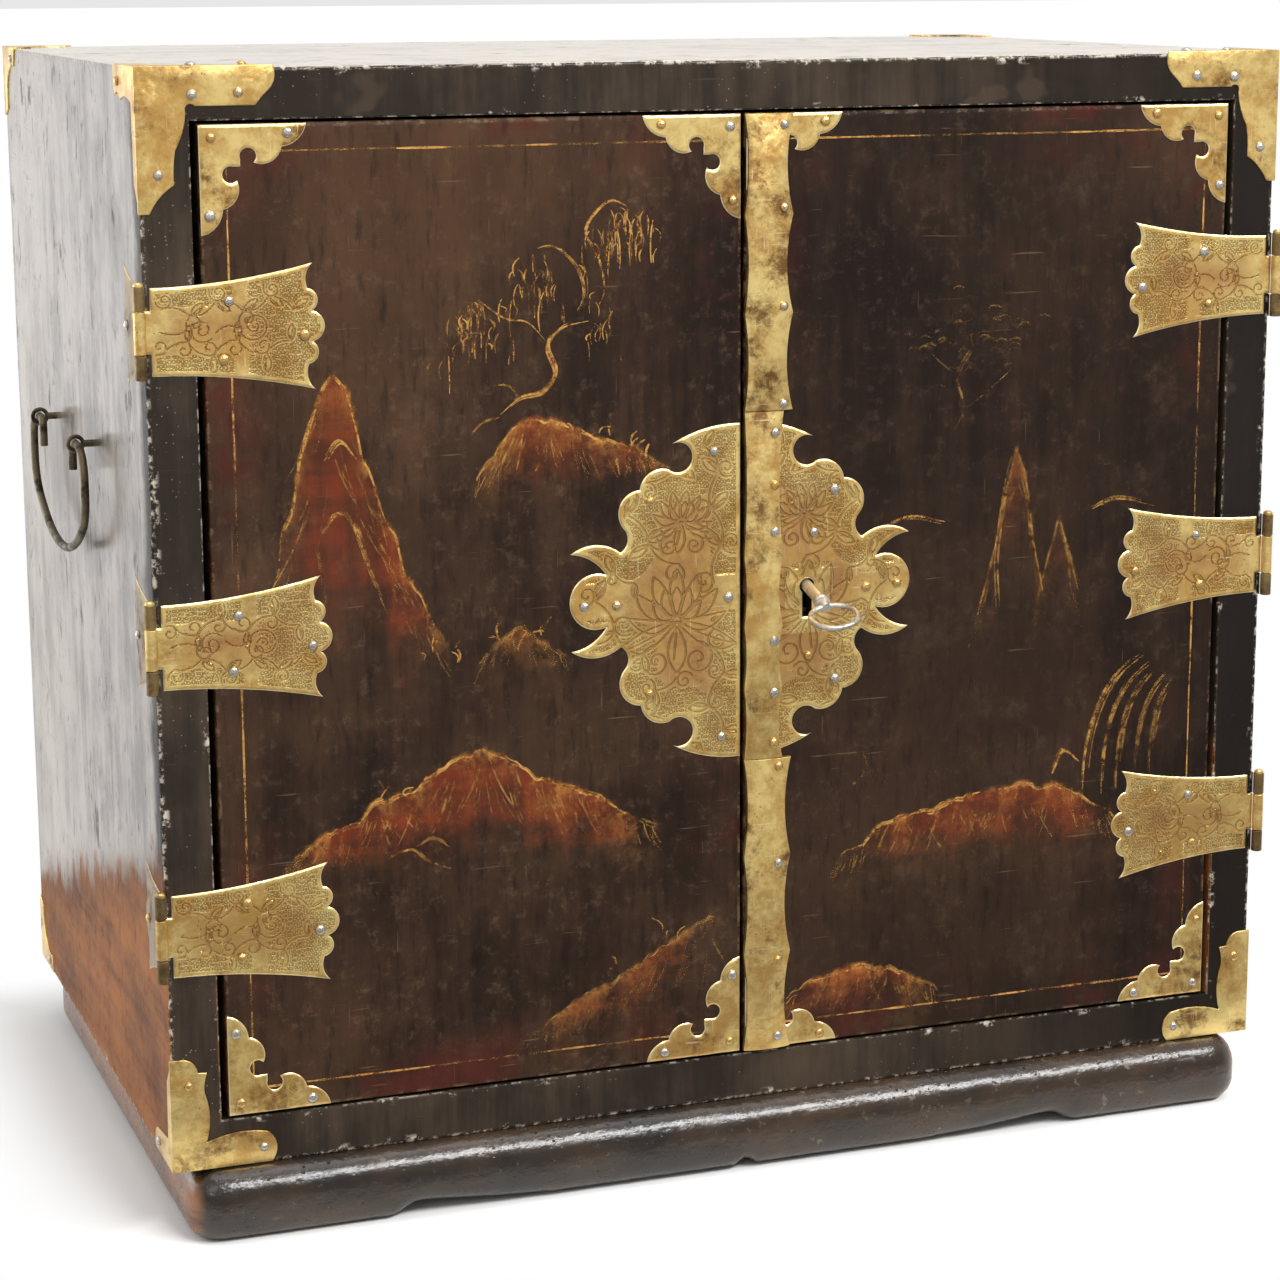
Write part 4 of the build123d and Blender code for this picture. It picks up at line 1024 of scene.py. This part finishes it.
def plateSolid(name, plates, put, finish, extras=()):  # plates and small turned parts joined into one piece
    solids = []
    fields = {"line": [], "rim": [], "ground": [], "core": []}
    for spots, tris, depth, values in plates:
        count = len(spots)
        points = [put(p[0], d, p[1]) for p, d in zip(spots, depth)]
        points += [put(p[0], 0.0, p[1]) for p in spots]
        faces = []
        used = {}
        for tri in tris:
            faces.append(tuple(tri))
            faces.append(tuple(count + k for k in reversed(tri)))
            used.update(dict.fromkeys(zip(tri, tri[1:] + tri[:1])))
        faces += [(b, a, count + a, count + b) for a, b in used if (b, a) not in used]
        solids.append((points, faces))
        for key in fields:
            fields[key] += list(values[key]) + [0.0] * count
    for points, _ in extras:
        for key in fields:
            fields[key] += [0.0] * len(points)
    piece = newPiece(name, *join(solids + list(extras)), finish, 40.0)
    fix = bmesh.new()
    fix.from_mesh(piece.data)
    bmesh.ops.recalc_face_normals(fix, faces=fix.faces)
    fix.to_mesh(piece.data)
    fix.free()
    for key, values in fields.items():
        setField(piece, key, values)
    return piece


def lathe(profile, place, sides):  # a turned solid: radius and height pairs, closed at both ends
    verts = []
    for radius, height in profile:
        for k in range(sides):
            a = 2 * math.pi * k / sides
            verts.append(place(radius * math.cos(a), radius * math.sin(a), height))
    return verts, netFaces(len(profile), sides, False)


def away(x, z, far, angle):
    return (x + far * math.cos(angle), z + far * math.sin(angle))


# lotus, leaves and vines of the engraving, as lines in millimetres
def lotus(x, z, size, lean=0.0, petals=7):
    lines = []
    for count, long, fat, spread in ((petals, 1.0, 0.27, 190), (petals - 2, 0.66, 0.34, 120)):
        for k in range(count):
            share = 2 * k / (count - 1) - 1
            a = math.radians(lean + 90 - share * spread / 2)
            root = away(x, z, size * 0.1, a)
            tip = away(x, z, size * long, a + share * 0.22)
            for hand in (-1, 1):
                bow = away(x, z, size * long * 0.72, a - share * 0.2 + hand * fat * 1.5)
                lines.append(curve(root, bow, tip, 10))
    for hand in (-1, 1):
        tip = (x + hand * size * 1.2, z - size * 0.5)
        for droop in (0.05, 0.42, 0.85):
            lines.append(curve((x, z), (x + hand * size * 0.7, z - size * droop), tip, 10))
        lines.append(scroll(x + hand * size * 0.42, z - size * 0.75, size * 0.34, 90, -1.5 * hand))
    return lines + leaf(x, z - size * 0.1, size * 0.9, lean - 90)


def leaf(x, z, size, turn):
    a = math.radians(turn)
    tip = away(x, z, size, a)
    lines = [curve((x, z), away(x, z, size * 0.7, a + hand * 0.62), tip, 8) for hand in (-1, 1)]
    return lines + [curve((x, z), (x, z), away(x, z, size * 0.7, a + 0.1), 4)]


def vine(*spots):  # a line through its points, with a leaf on each side in turn
    lines = []
    for k, (a, b) in enumerate(zip(spots, spots[1:])):
        turn = math.degrees(math.atan2(b[1] - a[1], b[0] - a[0]))
        side = 1 if k % 2 else -1
        bow = math.radians(turn + 90 * side)
        far = math.dist(a, b)
        middle = away((a[0] + b[0]) / 2, (a[1] + b[1]) / 2, far * 0.3, bow)
        lines.append(curve(a, middle, b, 10))
        lines += leaf(b[0], b[1], far * 0.62, turn + 62 * side)
        lines.append(scroll(*away(a[0], a[1], far * 0.3, bow), far * 0.32, turn + 180, 1.3 * side))
    return lines


# lock plates, from the seam and from the lock's middle
plateStep = 0.44
plateLines = lotus(27, -10, 20) + lotus(25, 28, 12, 10, 7)
for path in (
    ((26, 12), (38, 20), (47, 32), (40, 44), (27, 50)),
    ((12, 4), (9, 18), (13, 32), (10, 46), (16, 56)),
    ((40, -22), (52, -12), (60, 0), (52, 10), (44, 6)),
    ((26, -30), (36, -36), (40, -46), (28, -52), (18, -58)),
    ((14, -20), (8, -32), (14, -44), (8, -54)),
):
    plateLines += vine(*path)


def plateOrnament(points, rimGap):
    off = np.stack([np.abs(points[:, 0]), points[:, 1]], 1)
    gap = np.minimum.reduce([nearest(off, line) for line in plateLines])
    line = np.clip(1.15 - gap / 0.6, 0, 1) * np.clip((rimGap - 1.0) / 0.8, 0, 1)
    band = np.clip((rimGap - 1.6) / 0.8, 0, 1) * np.clip((13 - rimGap) / 2, 0, 1)
    ground = band * np.clip((gap - 0.7) / 0.6, 0, 1) * np.clip((np.abs(off[:, 1]) - 5) / 4, 0, 1)
    return line, ground


# straps, from the hinge side and from the strap's middle
strapLines = vine((6, 8), (15, 4), (24, 9), (33, 4), (43, 9), (52, 5))
strapLines += vine((6, -8), (16, -5), (25, -10), (35, -6), (44, -11), (53, -6))
strapLines += [scroll(20, 0, 4.6, 40, 1.6), scroll(39, -1, 6.0, 200, -1.7)]
strapLines += [curve((5, 0), (10, 2), (15, 0), 8), curve((25, 1), (29, -3), (33, 0), 8)]


def strapOrnament(points, rimGap):
    x, z = points[:, 0], points[:, 1]
    gap = np.minimum.reduce([nearest(points, line) for line in strapLines])
    line = np.clip(1 - gap / 0.5, 0, 1) * np.clip((rimGap - 0.9) / 0.8, 0, 1)
    ground = np.clip((gap - 0.6) / 0.5, 0, 1) * np.clip((rimGap - 1.4) / 0.8, 0, 1)
    end = np.clip((x - 34) / 6, 0, 1)
    ground *= end + np.clip((np.abs(z) - 7.5) / 2, 0, 1) * np.clip((34 - x) / 6, 0, 1)
    return line, np.clip(ground, 0, 1)


def unmarked(points, rimGap):
    return np.zeros(len(points)), np.zeros(len(points))


def onFront(x, out, z):  # millimetres, straight out of the front
    return at(x, -out, z)


plateLevel = frontY - sheet * mm
for word, side in (("left", -1), ("right", 1)):
    node = word + "_lock_plate"
    loops = sorted(outlinesOf(node, 1, plateLevel), key=loopArea, reverse=True)
    loops = [(loop - [0.0, lockZ]) / mm for loop in loops]
    plate = plateMesh(loops, plateStep, plateOrnament, 3 + side)
    piece = plateSolid(node + "_engraved", [plate], lambda x, out, z: onFront(x, out, z + lockHigh),
                       finishOf["engraved_brass"])
    standFor(piece, node)
print("lock plates engraved")

# hinges: engraved straps, plain leaves, round knuckles and pins
hingeSize = {
    "axisOut": 2.2, "knuckle": 2.2, "half": 7.5, "gap": 0.3, "barrel": 16.5, "ease": 0.25, "sides": 20,
    "pin": 1.1, "pinSides": 16, "head": 1.3, "headRadius": 1.9, "headTop": 1.2,
    "strapStep": 0.5, "leafStep": 1.6, "strapArea": 5e-4, "leafArea": 3e-4,
}


def upright(x, y, z):  # a turned part that stands on a point
    return lambda a, b, h: at(x + a, y + b, z + h)


def knuckle(x, y, low, high):
    radius, ease = hingeSize["knuckle"], hingeSize["ease"]
    profile = [(radius - ease, low), (radius, low + ease), (radius, high - ease), (radius - ease, high)]
    return lathe(profile, upright(x, y, 0.0), hingeSize["sides"])


def hinges(word, side):
    size = hingeSize
    axis = (side * (caseHalf + size["axisOut"]), -size["axisOut"])
    straps = outlinesOf(word + "_hinge_straps", 1, plateLevel)
    straps = [(loop - [0.0, baseZ]) / mm for loop in straps if loopArea(loop) > size["strapArea"]]
    plates, strapKnuckles, leafKnuckles, pins = [], [], [], []
    start, end, wide = size["half"] + size["gap"], size["barrel"], size["headRadius"]
    for k, loop in enumerate(straps):
        middle = (loop[:, 1].min() + loop[:, 1].max()) / 2
        turn = 1 if k % 2 else -1  # each strap has its scrolls the other way up

        def drawn(points, rimGap):
            near = np.stack([caseHalf - np.abs(points[:, 0]), (points[:, 1] - middle) * turn], 1)
            return strapOrnament(near, rimGap)

        plates.append(plateMesh([loop], size["strapStep"], drawn, 20 + k + 5 * side))
        strapKnuckles.append(knuckle(*axis, middle - size["half"], middle + size["half"]))
        for low, high in ((start, end), (-end, -start)):
            leafKnuckles.append(knuckle(*axis, middle + low, middle + high))
        profile = [(size["pin"], -end), (size["pin"], end - 0.4), (wide, end + 0.02), (wide, end + 0.7),
                   (size["headTop"], end + size["head"])]
        pins.append(lathe(profile, upright(*axis, middle), size["pinSides"]))
    piece = plateSolid(word + "_hinge_straps_engraved", plates, onFront, finishOf["engraved_brass"],
                       strapKnuckles)
    standFor(piece, word + "_hinge_straps")
    leaves = outlinesOf(word + "_hinge_leaves", 0, side * (halfWide + sheet * mm))
    leaves = [(loop - [frontY, baseZ]) / mm for loop in leaves if loopArea(loop) > size["leafArea"]]
    plain = [plateMesh([loop], size["leafStep"], unmarked, 40 + side) for loop in leaves]
    piece = plateSolid(word + "_hinge_leaf_plates", plain,
                       lambda y, out, z: at(side * (caseHalf + out), y, z), leafFinish, leafKnuckles)
    standFor(piece, word + "_hinge_leaves")
    return pins


pinParts = hinges("left", -1) + hinges("right", 1)
standFor(newPiece("turned_hinge_pins", *join(pinParts), finishOf["plain_brass"]), "hinge_pins")
print("hinges made")

# mounts and strips keep their shape, with eased edges
mountSize = {"step": 0.7, "area": 1e-5, "mountEase": 0.3, "stripEase": 0.4}
for word in ("left", "right"):
    node = word + "_door_corner_mounts"
    loops = outlinesOf(node, 1, plateLevel)
    loops = [(loop - [0.0, baseZ]) / mm for loop in loops if loopArea(loop) > mountSize["area"]]
    plates = [plateMesh([loop], mountSize["step"], unmarked, 60 + k) for k, loop in enumerate(loops)]
    standFor(plateSolid(node + "_eased", plates, onFront, finishOf["plain_brass"]), node)
for node in ("front_corner_mounts", "rear_corner_mounts"):
    easedCopy(node + "_eased", node, mountSize["mountEase"])
for node in ("upper_seam_strip", "middle_seam_strip", "lower_seam_strip"):
    easedCopy(node + "_eased", node, mountSize["stripEase"])
print("mounts eased")


# domed nails where the nodes have theirs
nailSize = {"radius": 1.95, "rise": 1.25, "edge": 0.12, "root": -0.15, "lean": 0.09, "rings": 5, "sides": 14}


def nailSpots(node):  # the middle of each nail's seat, and the way that it faces
    mesh = tidyMesh(node)
    left = set(mesh.verts)
    spots = []
    while left:
        group, todo = set(), [next(iter(left))]
        while todo:
            v = todo.pop()
            if v not in group:
                group.add(v)
                todo += [e.other_vert(v) for e in v.link_edges]
        left -= group
        seats = {}
        for face in {face for v in group for face in v.link_faces}:
            key = tuple(round(c, 2) for c in face.normal)
            seats[key] = seats.get(key, 0.0) + face.calc_area()
        way = -Vector(max(seats, key=seats.get)).normalized()
        low = min(v.co.dot(way) for v in group)
        base = [v.co for v in group if v.co.dot(way) < low + 2e-5]
        spots.append((sum(base, Vector()) / len(base), way))
    mesh.free()
    return spots


def nailHeads(node):
    size = nailSize
    edge, rise, rings = size["edge"], size["rise"], size["rings"]
    draw = random.Random(node)
    solids, tints = [], []
    for spot, way in sorted(nailSpots(node), key=lambda s: tuple(s[0])):
        turn = way.to_track_quat("Z", "Y")
        lean = Vector([draw.uniform(-size["lean"], size["lean"]) for _ in "xy"] + [0.0])
        radius = size["radius"] * draw.uniform(0.88, 1.08)
        profile = [(radius * 0.93, size["root"]), (radius, edge)]
        for a in (math.pi / 2 * k / rings for k in range(1, rings)):
            profile.append((radius * math.cos(a), edge + (rise - edge) * math.sin(a)))
        profile.append((radius * 0.1, rise))

        def seat(a, b, h):
            return spot + turn @ (Vector((a, b, h)) + lean * h * 2) * mm

        solids.append(lathe(profile, seat, size["sides"]))
        tints += [draw.random()] * len(solids[-1][0])
    piece = newPiece(node + "_domed", *join(solids), finishOf["nail_metal"], 50.0)
    setField(piece, "tint", tints)
    standFor(piece, node)


for node in ("carcass_nails", "left_door_nails", "right_door_nails"):
    nailHeads(node)
print("nails set")


def tube(line, radius, closed=False, sides=12):  # a round wire along points
    line = [Vector(p) for p in line]
    count = len(line)
    verts = []
    first = line[1] - line[0]
    side = Vector([float(k == min(range(3), key=lambda a: abs(first[a]))) for k in range(3)])
    for k, p in enumerate(line):
        ahead = line[(k + 1) % count] if closed or k + 1 < count else p
        behind = line[k - 1] if closed or k else p
        way = (ahead - behind).normalized()
        side = (side - way * side.dot(way)).normalized()
        up = way.cross(side)
        for s in range(sides):
            a = 2 * math.pi * s / sides
            verts.append(p + (side * math.cos(a) + up * math.sin(a)) * radius)
    return verts, netFaces(count, sides, closed)


# key: shank with a collar, an oval bow and a bit, drooping in its hole
keySize = {
    "x": 26.5, "droop": 15.0, "roll": 8.0, "inside": 13.6, "outside": 37.0, "shank": 2.25, "bow": 9.0,
    "wire": 1.05, "bit": (9.5, 13.5, 7.5, 1.1), "bitEase": 0.3,  # from, to, out and half its thickness
    # shares of the shank's radius, and places from the bow
    "collar": ((0.7, -1.2), (0.95, 0.4), (1.0, 1.6), (1.34, 2.0), (1.36, 2.8), (1.05, 3.2), (1.05, 3.7),
               (1.3, 4.1), (1.3, 4.6), (1.0, 5.2)),
}


def key():
    size = keySize
    middle = size["bow"] + size["wire"] - size["outside"]  # centre of the bow
    start = middle + size["bow"]
    r = size["shank"]
    profile = [(r * share, start + place) for share, place in size["collar"]]
    profile += [(r * 0.98, size["inside"] - 0.5), (r * 0.7, size["inside"])]
    shank = lathe(profile, lambda a, b, h: Vector((a, h, b)), 20)
    ring = [Vector((size["bow"] * math.cos(a), middle + size["bow"] * math.sin(a), 0.0))
            for a in np.linspace(0, 2 * math.pi, 48, endpoint=False)]
    y0, y1, out, half = size["bit"]
    box = bmesh.new()
    bmesh.ops.create_cube(box, size=1.0)
    bmesh.ops.scale(box, vec=(out, y1 - y0, 2 * half), verts=box.verts)
    bmesh.ops.translate(box, vec=(out / 2, (y0 + y1) / 2, 0.0), verts=box.verts)
    bmesh.ops.bevel(box, geom=box.edges[:], offset=size["bitEase"], segments=2, profile=0.5, affect="EDGES")
    box.verts.ensure_lookup_table()
    bit = ([v.co.copy() for v in box.verts], [[v.index for v in face.verts] for face in box.faces])
    box.free()
    verts, faces = join([shank, tube(ring, size["wire"], True), bit])
    turn = Matrix.Rotation(math.radians(size["droop"]), 4, "X")
    turn = turn @ Matrix.Rotation(math.radians(-size["roll"]), 4, "Y")
    put = [at(size["x"], -sheet, lockHigh) + (turn @ v) * mm for v in verts]
    standFor(newPiece("steel_key", put, faces, finishOf["steel"], 45.0), "key")


key()

# bails: a bent wire in two eyes on each side
bailSize = {
    "high": 257.0, "back": 149.0, "off": 7.0, "wire": 1.6, "half": 57.0, "drop": 46.0, "corner": 16.0,
    "shoulder": 12.0, "sideDrop": 18.0, "seat": 9.0, "hook": 3.0, "tail": 8.0, "eye": 2.9, "eyeWire": 0.8,
    "eyeShank": 1.4, "eyeDepth": 11.0,
}


def arc(x, y, radius, first, last, count):
    angles = np.radians(np.linspace(first, last, count))
    return [(x + radius * math.cos(a), y + radius * math.sin(a)) for a in angles]


def bails(word, side):
    size = bailSize
    run = size["half"] - size["corner"]
    rise = size["drop"] - size["sideDrop"]
    sag = (run**2 + rise**2 - size["corner"] ** 2) / (2 * (rise - size["corner"]))
    lean = math.degrees(math.asin(run / (sag - size["corner"])))
    seatOut = size["half"] - size["shoulder"]
    seatIn = seatOut - size["seat"]
    half = arc(0, sag - size["drop"], sag, -90, -90 + lean, 10)
    half += arc(run, -size["sideDrop"], size["corner"], -90 + lean, 0, 9)[1:]
    half += arc(seatOut, -size["shoulder"], size["shoulder"], 0, 90, 9)
    half += arc(seatIn, -size["hook"], size["hook"], 90, 180, 7)
    half += [(seatIn - size["hook"], -size["hook"] - size["tail"] * t) for t in (0.3, 0.6, 1.0)]
    line = [(-y, z) for y, z in reversed(half[1:])] + half
    x = side * (caseHalf + size["off"])
    points = [at(x, size["back"] + y, size["high"] + z) for y, z in line]
    wire = tube(points, size["wire"] * mm)
    standFor(newPiece(word + "_bail_wire", *wire, finishOf["iron"]), word + "_bail")
    rings = []
    for hand in (-1, 1):
        y = size["back"] + hand * (seatOut - size["seat"] / 2)
        ring = [at(x + size["eye"] * math.cos(a), y, size["high"] + size["eye"] * math.sin(a))
                for a in np.linspace(0, 2 * math.pi, 28, endpoint=False)]
        rings.append(tube(ring, size["eyeWire"] * mm, True))
        shank = [at(side * (caseHalf - size["eyeDepth"]), y, size["high"]),
                 at(side * (caseHalf + size["off"] - size["eye"]), y, size["high"])]
        rings.append(tube(shank, size["eyeShank"] * mm))
    return rings


eyeParts = bails("left", -1) + bails("right", 1)
standFor(newPiece("bail_eye_rings", *join(eyeParts), finishOf["iron"]), "bail_eyes")
print("key and bails made")

# turned knobs of the drawers
knobSize = {
    "profile": ((3.6, 0.0), (3.7, 1.0), (2.6, 2.0), (2.4, 4.5), (4.4, 5.6), (5.8, 7.2), (5.9, 9.0),
                (4.6, 11.0), (2.2, 12.0)),
    "sides": 24, "frontEase": 0.8,
}
rows = ("top", "middle", "bottom")
for node in [column + "_" + row + "_drawer" for column in ("left", "right") for row in rows]:
    low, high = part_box(node + "_knob")
    x, z = (low.x + high.x) / 2, (low.z + high.z) / 2
    turned = lathe(knobSize["profile"], lambda a, b, h: Vector((x + a * mm, high.y - h * mm, z + b * mm)),
                   knobSize["sides"])
    standFor(newPiece(node + "_turned_knob", *turned, finishOf["plain_brass"], 50.0), node + "_knob")
    easedCopy(node + "_front_eased", node + "_front", knobSize["frontEase"])
print("drawers dressed")

# floor, light and camera
stage = {
    "floor": rgb(250, 249, 247), "reach": 30.0, "fade": (0.004, 0.065), "world": 0.62, "front": 0.42,
    "turn": (-0.7, 0.15), "near": (-0.22, -0.12), "far": (-0.35, -1.5), "farLevel": 0.75,
    "shade": (0.3, 0.3, 0.3, 1.0), "white": (1.0, 1.0, 1.0, 1.0),
}
floorMesh = bpy.data.meshes.new("floor")
reach = stage["reach"]
corners = [(-reach, -reach, 0.0), (reach, -reach, 0.0), (reach, reach, 0.0), (-reach, reach, 0.0)]
floorMesh.from_pydata(corners, [], [(0, 1, 2, 3)])
floor = bpy.data.objects.new("floor", floorMesh)
bpy.context.scene.collection.objects.link(floor)


def floorFinish():  # white to the camera away from the cabinet, darker before its front in what shines
    f = Finish("pale_floor")
    low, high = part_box("plinth_front")[0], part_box("plinth_back")[1]
    beside = abs(f.x) - high.x
    along = abs(f.y - (low.y + high.y) / 2) - (high.y - low.y) / 2
    seen = f.ray("Is Camera Ray")
    beyond = f.step(f.y, *stage["near"]).most(f.step(f.y, *stage["far"]) * stage["farLevel"])
    colour = f.blend(seen.most(beyond), stage["shade"], stage["white"])
    white = f.add("ShaderNodeEmission", {}, {"Color": colour, "Strength": 1.0})
    matte = f.add("ShaderNodeBsdfDiffuse", {}, {"Color": stage["floor"]})
    share = f.step(beside.most(along), *stage["fade"]) * seen.most(f.ray("Is Glossy Ray"))
    mixed = f.add("ShaderNodeMixShader", {}, (share, matte, white))
    f.add("ShaderNodeOutputMaterial", {}, {"Surface": mixed})
    return f.owner


floorMesh.materials.append(floorFinish())


def studioSky():  # white all round to the camera, darker towards the front in what shines
    f = Finish("studio", None, bpy.data.worlds, "Generated")
    seen = f.ray("Is Camera Ray")
    shines = f.ray("Is Glossy Ray")
    behind = f.step(f.y, *stage["turn"]) * (1 - stage["front"]) + stage["front"]
    level = seen + shines * behind + (1 - seen - shines) * stage["world"]
    sky = f.add("ShaderNodeBackground", {}, {"Strength": level})
    f.add("ShaderNodeOutputWorld", {}, {"Surface": sky})
    return f.owner


bpy.context.scene.world = studioSky()


def softbox(name, place, target, size, power):
    light = bpy.data.lights.new(name, "AREA")
    light.shape = "RECTANGLE"
    light.size, light.size_y = size
    light.energy = power
    lamp = bpy.data.objects.new(name, light)
    lamp.location = place
    lamp.rotation_euler = (Vector(target) - Vector(place)).to_track_quat("-Z", "Y").to_euler()
    lamp.visible_camera = False
    bpy.context.scene.collection.objects.link(lamp)


# place, target, size in metres and power in watts
softbox("front_box", (-1.3, -1.7, 1.5), (0.0, 0.0, 0.2), (1.2, 1.2), 8.0)
softbox("side_box", (-1.15, 0.75, 0.42), (-0.2, 0.0, 0.22), (1.3, 0.8), 6.0)
softbox("sheen_box", (0.7, -1.5, 1.6), (0.0, -0.1, 0.1), (1.6, 0.36), 44.0)
softbox("top_box", (0.1, -0.2, 1.9), (0.0, 0.0, 0.3), (1.6, 1.0), 11.0)

# camera fitted to the photo: lengths in millimetres, the focal length and the middle in pixels
view = {
    "place": (-441.7, -1108.6, 439.3), "yaw": 20.51, "pitch": 11.62, "roll": -0.16, "focal": 3196.0,
    "frame": 1280.0, "middle": (676.0, 614.0), "sensor": 36.0, "clip": 0.05,
}
camera = bpy.data.cameras.new("camera")
camera.sensor_width = view["sensor"]
camera.lens = view["focal"] / view["frame"] * view["sensor"]
camera.shift_x = (view["frame"] / 2 - view["middle"][0]) / view["frame"]
camera.shift_y = (view["middle"][1] - view["frame"] / 2) / view["frame"]
camera.clip_start = view["clip"]
eye = bpy.data.objects.new("camera", camera)
eyePlace = Matrix.Translation(at(*view["place"]))
for angle, axis in ((-view["yaw"], "Z"), (90 - view["pitch"], "X"), (view["roll"], "Z")):
    eyePlace = eyePlace @ Matrix.Rotation(math.radians(angle), 4, axis)
eye.matrix_world = eyePlace
bpy.context.scene.collection.objects.link(eye)
bpy.context.scene.camera = eye
bpy.context.scene.view_settings.view_transform = "Standard"
print("stage set")
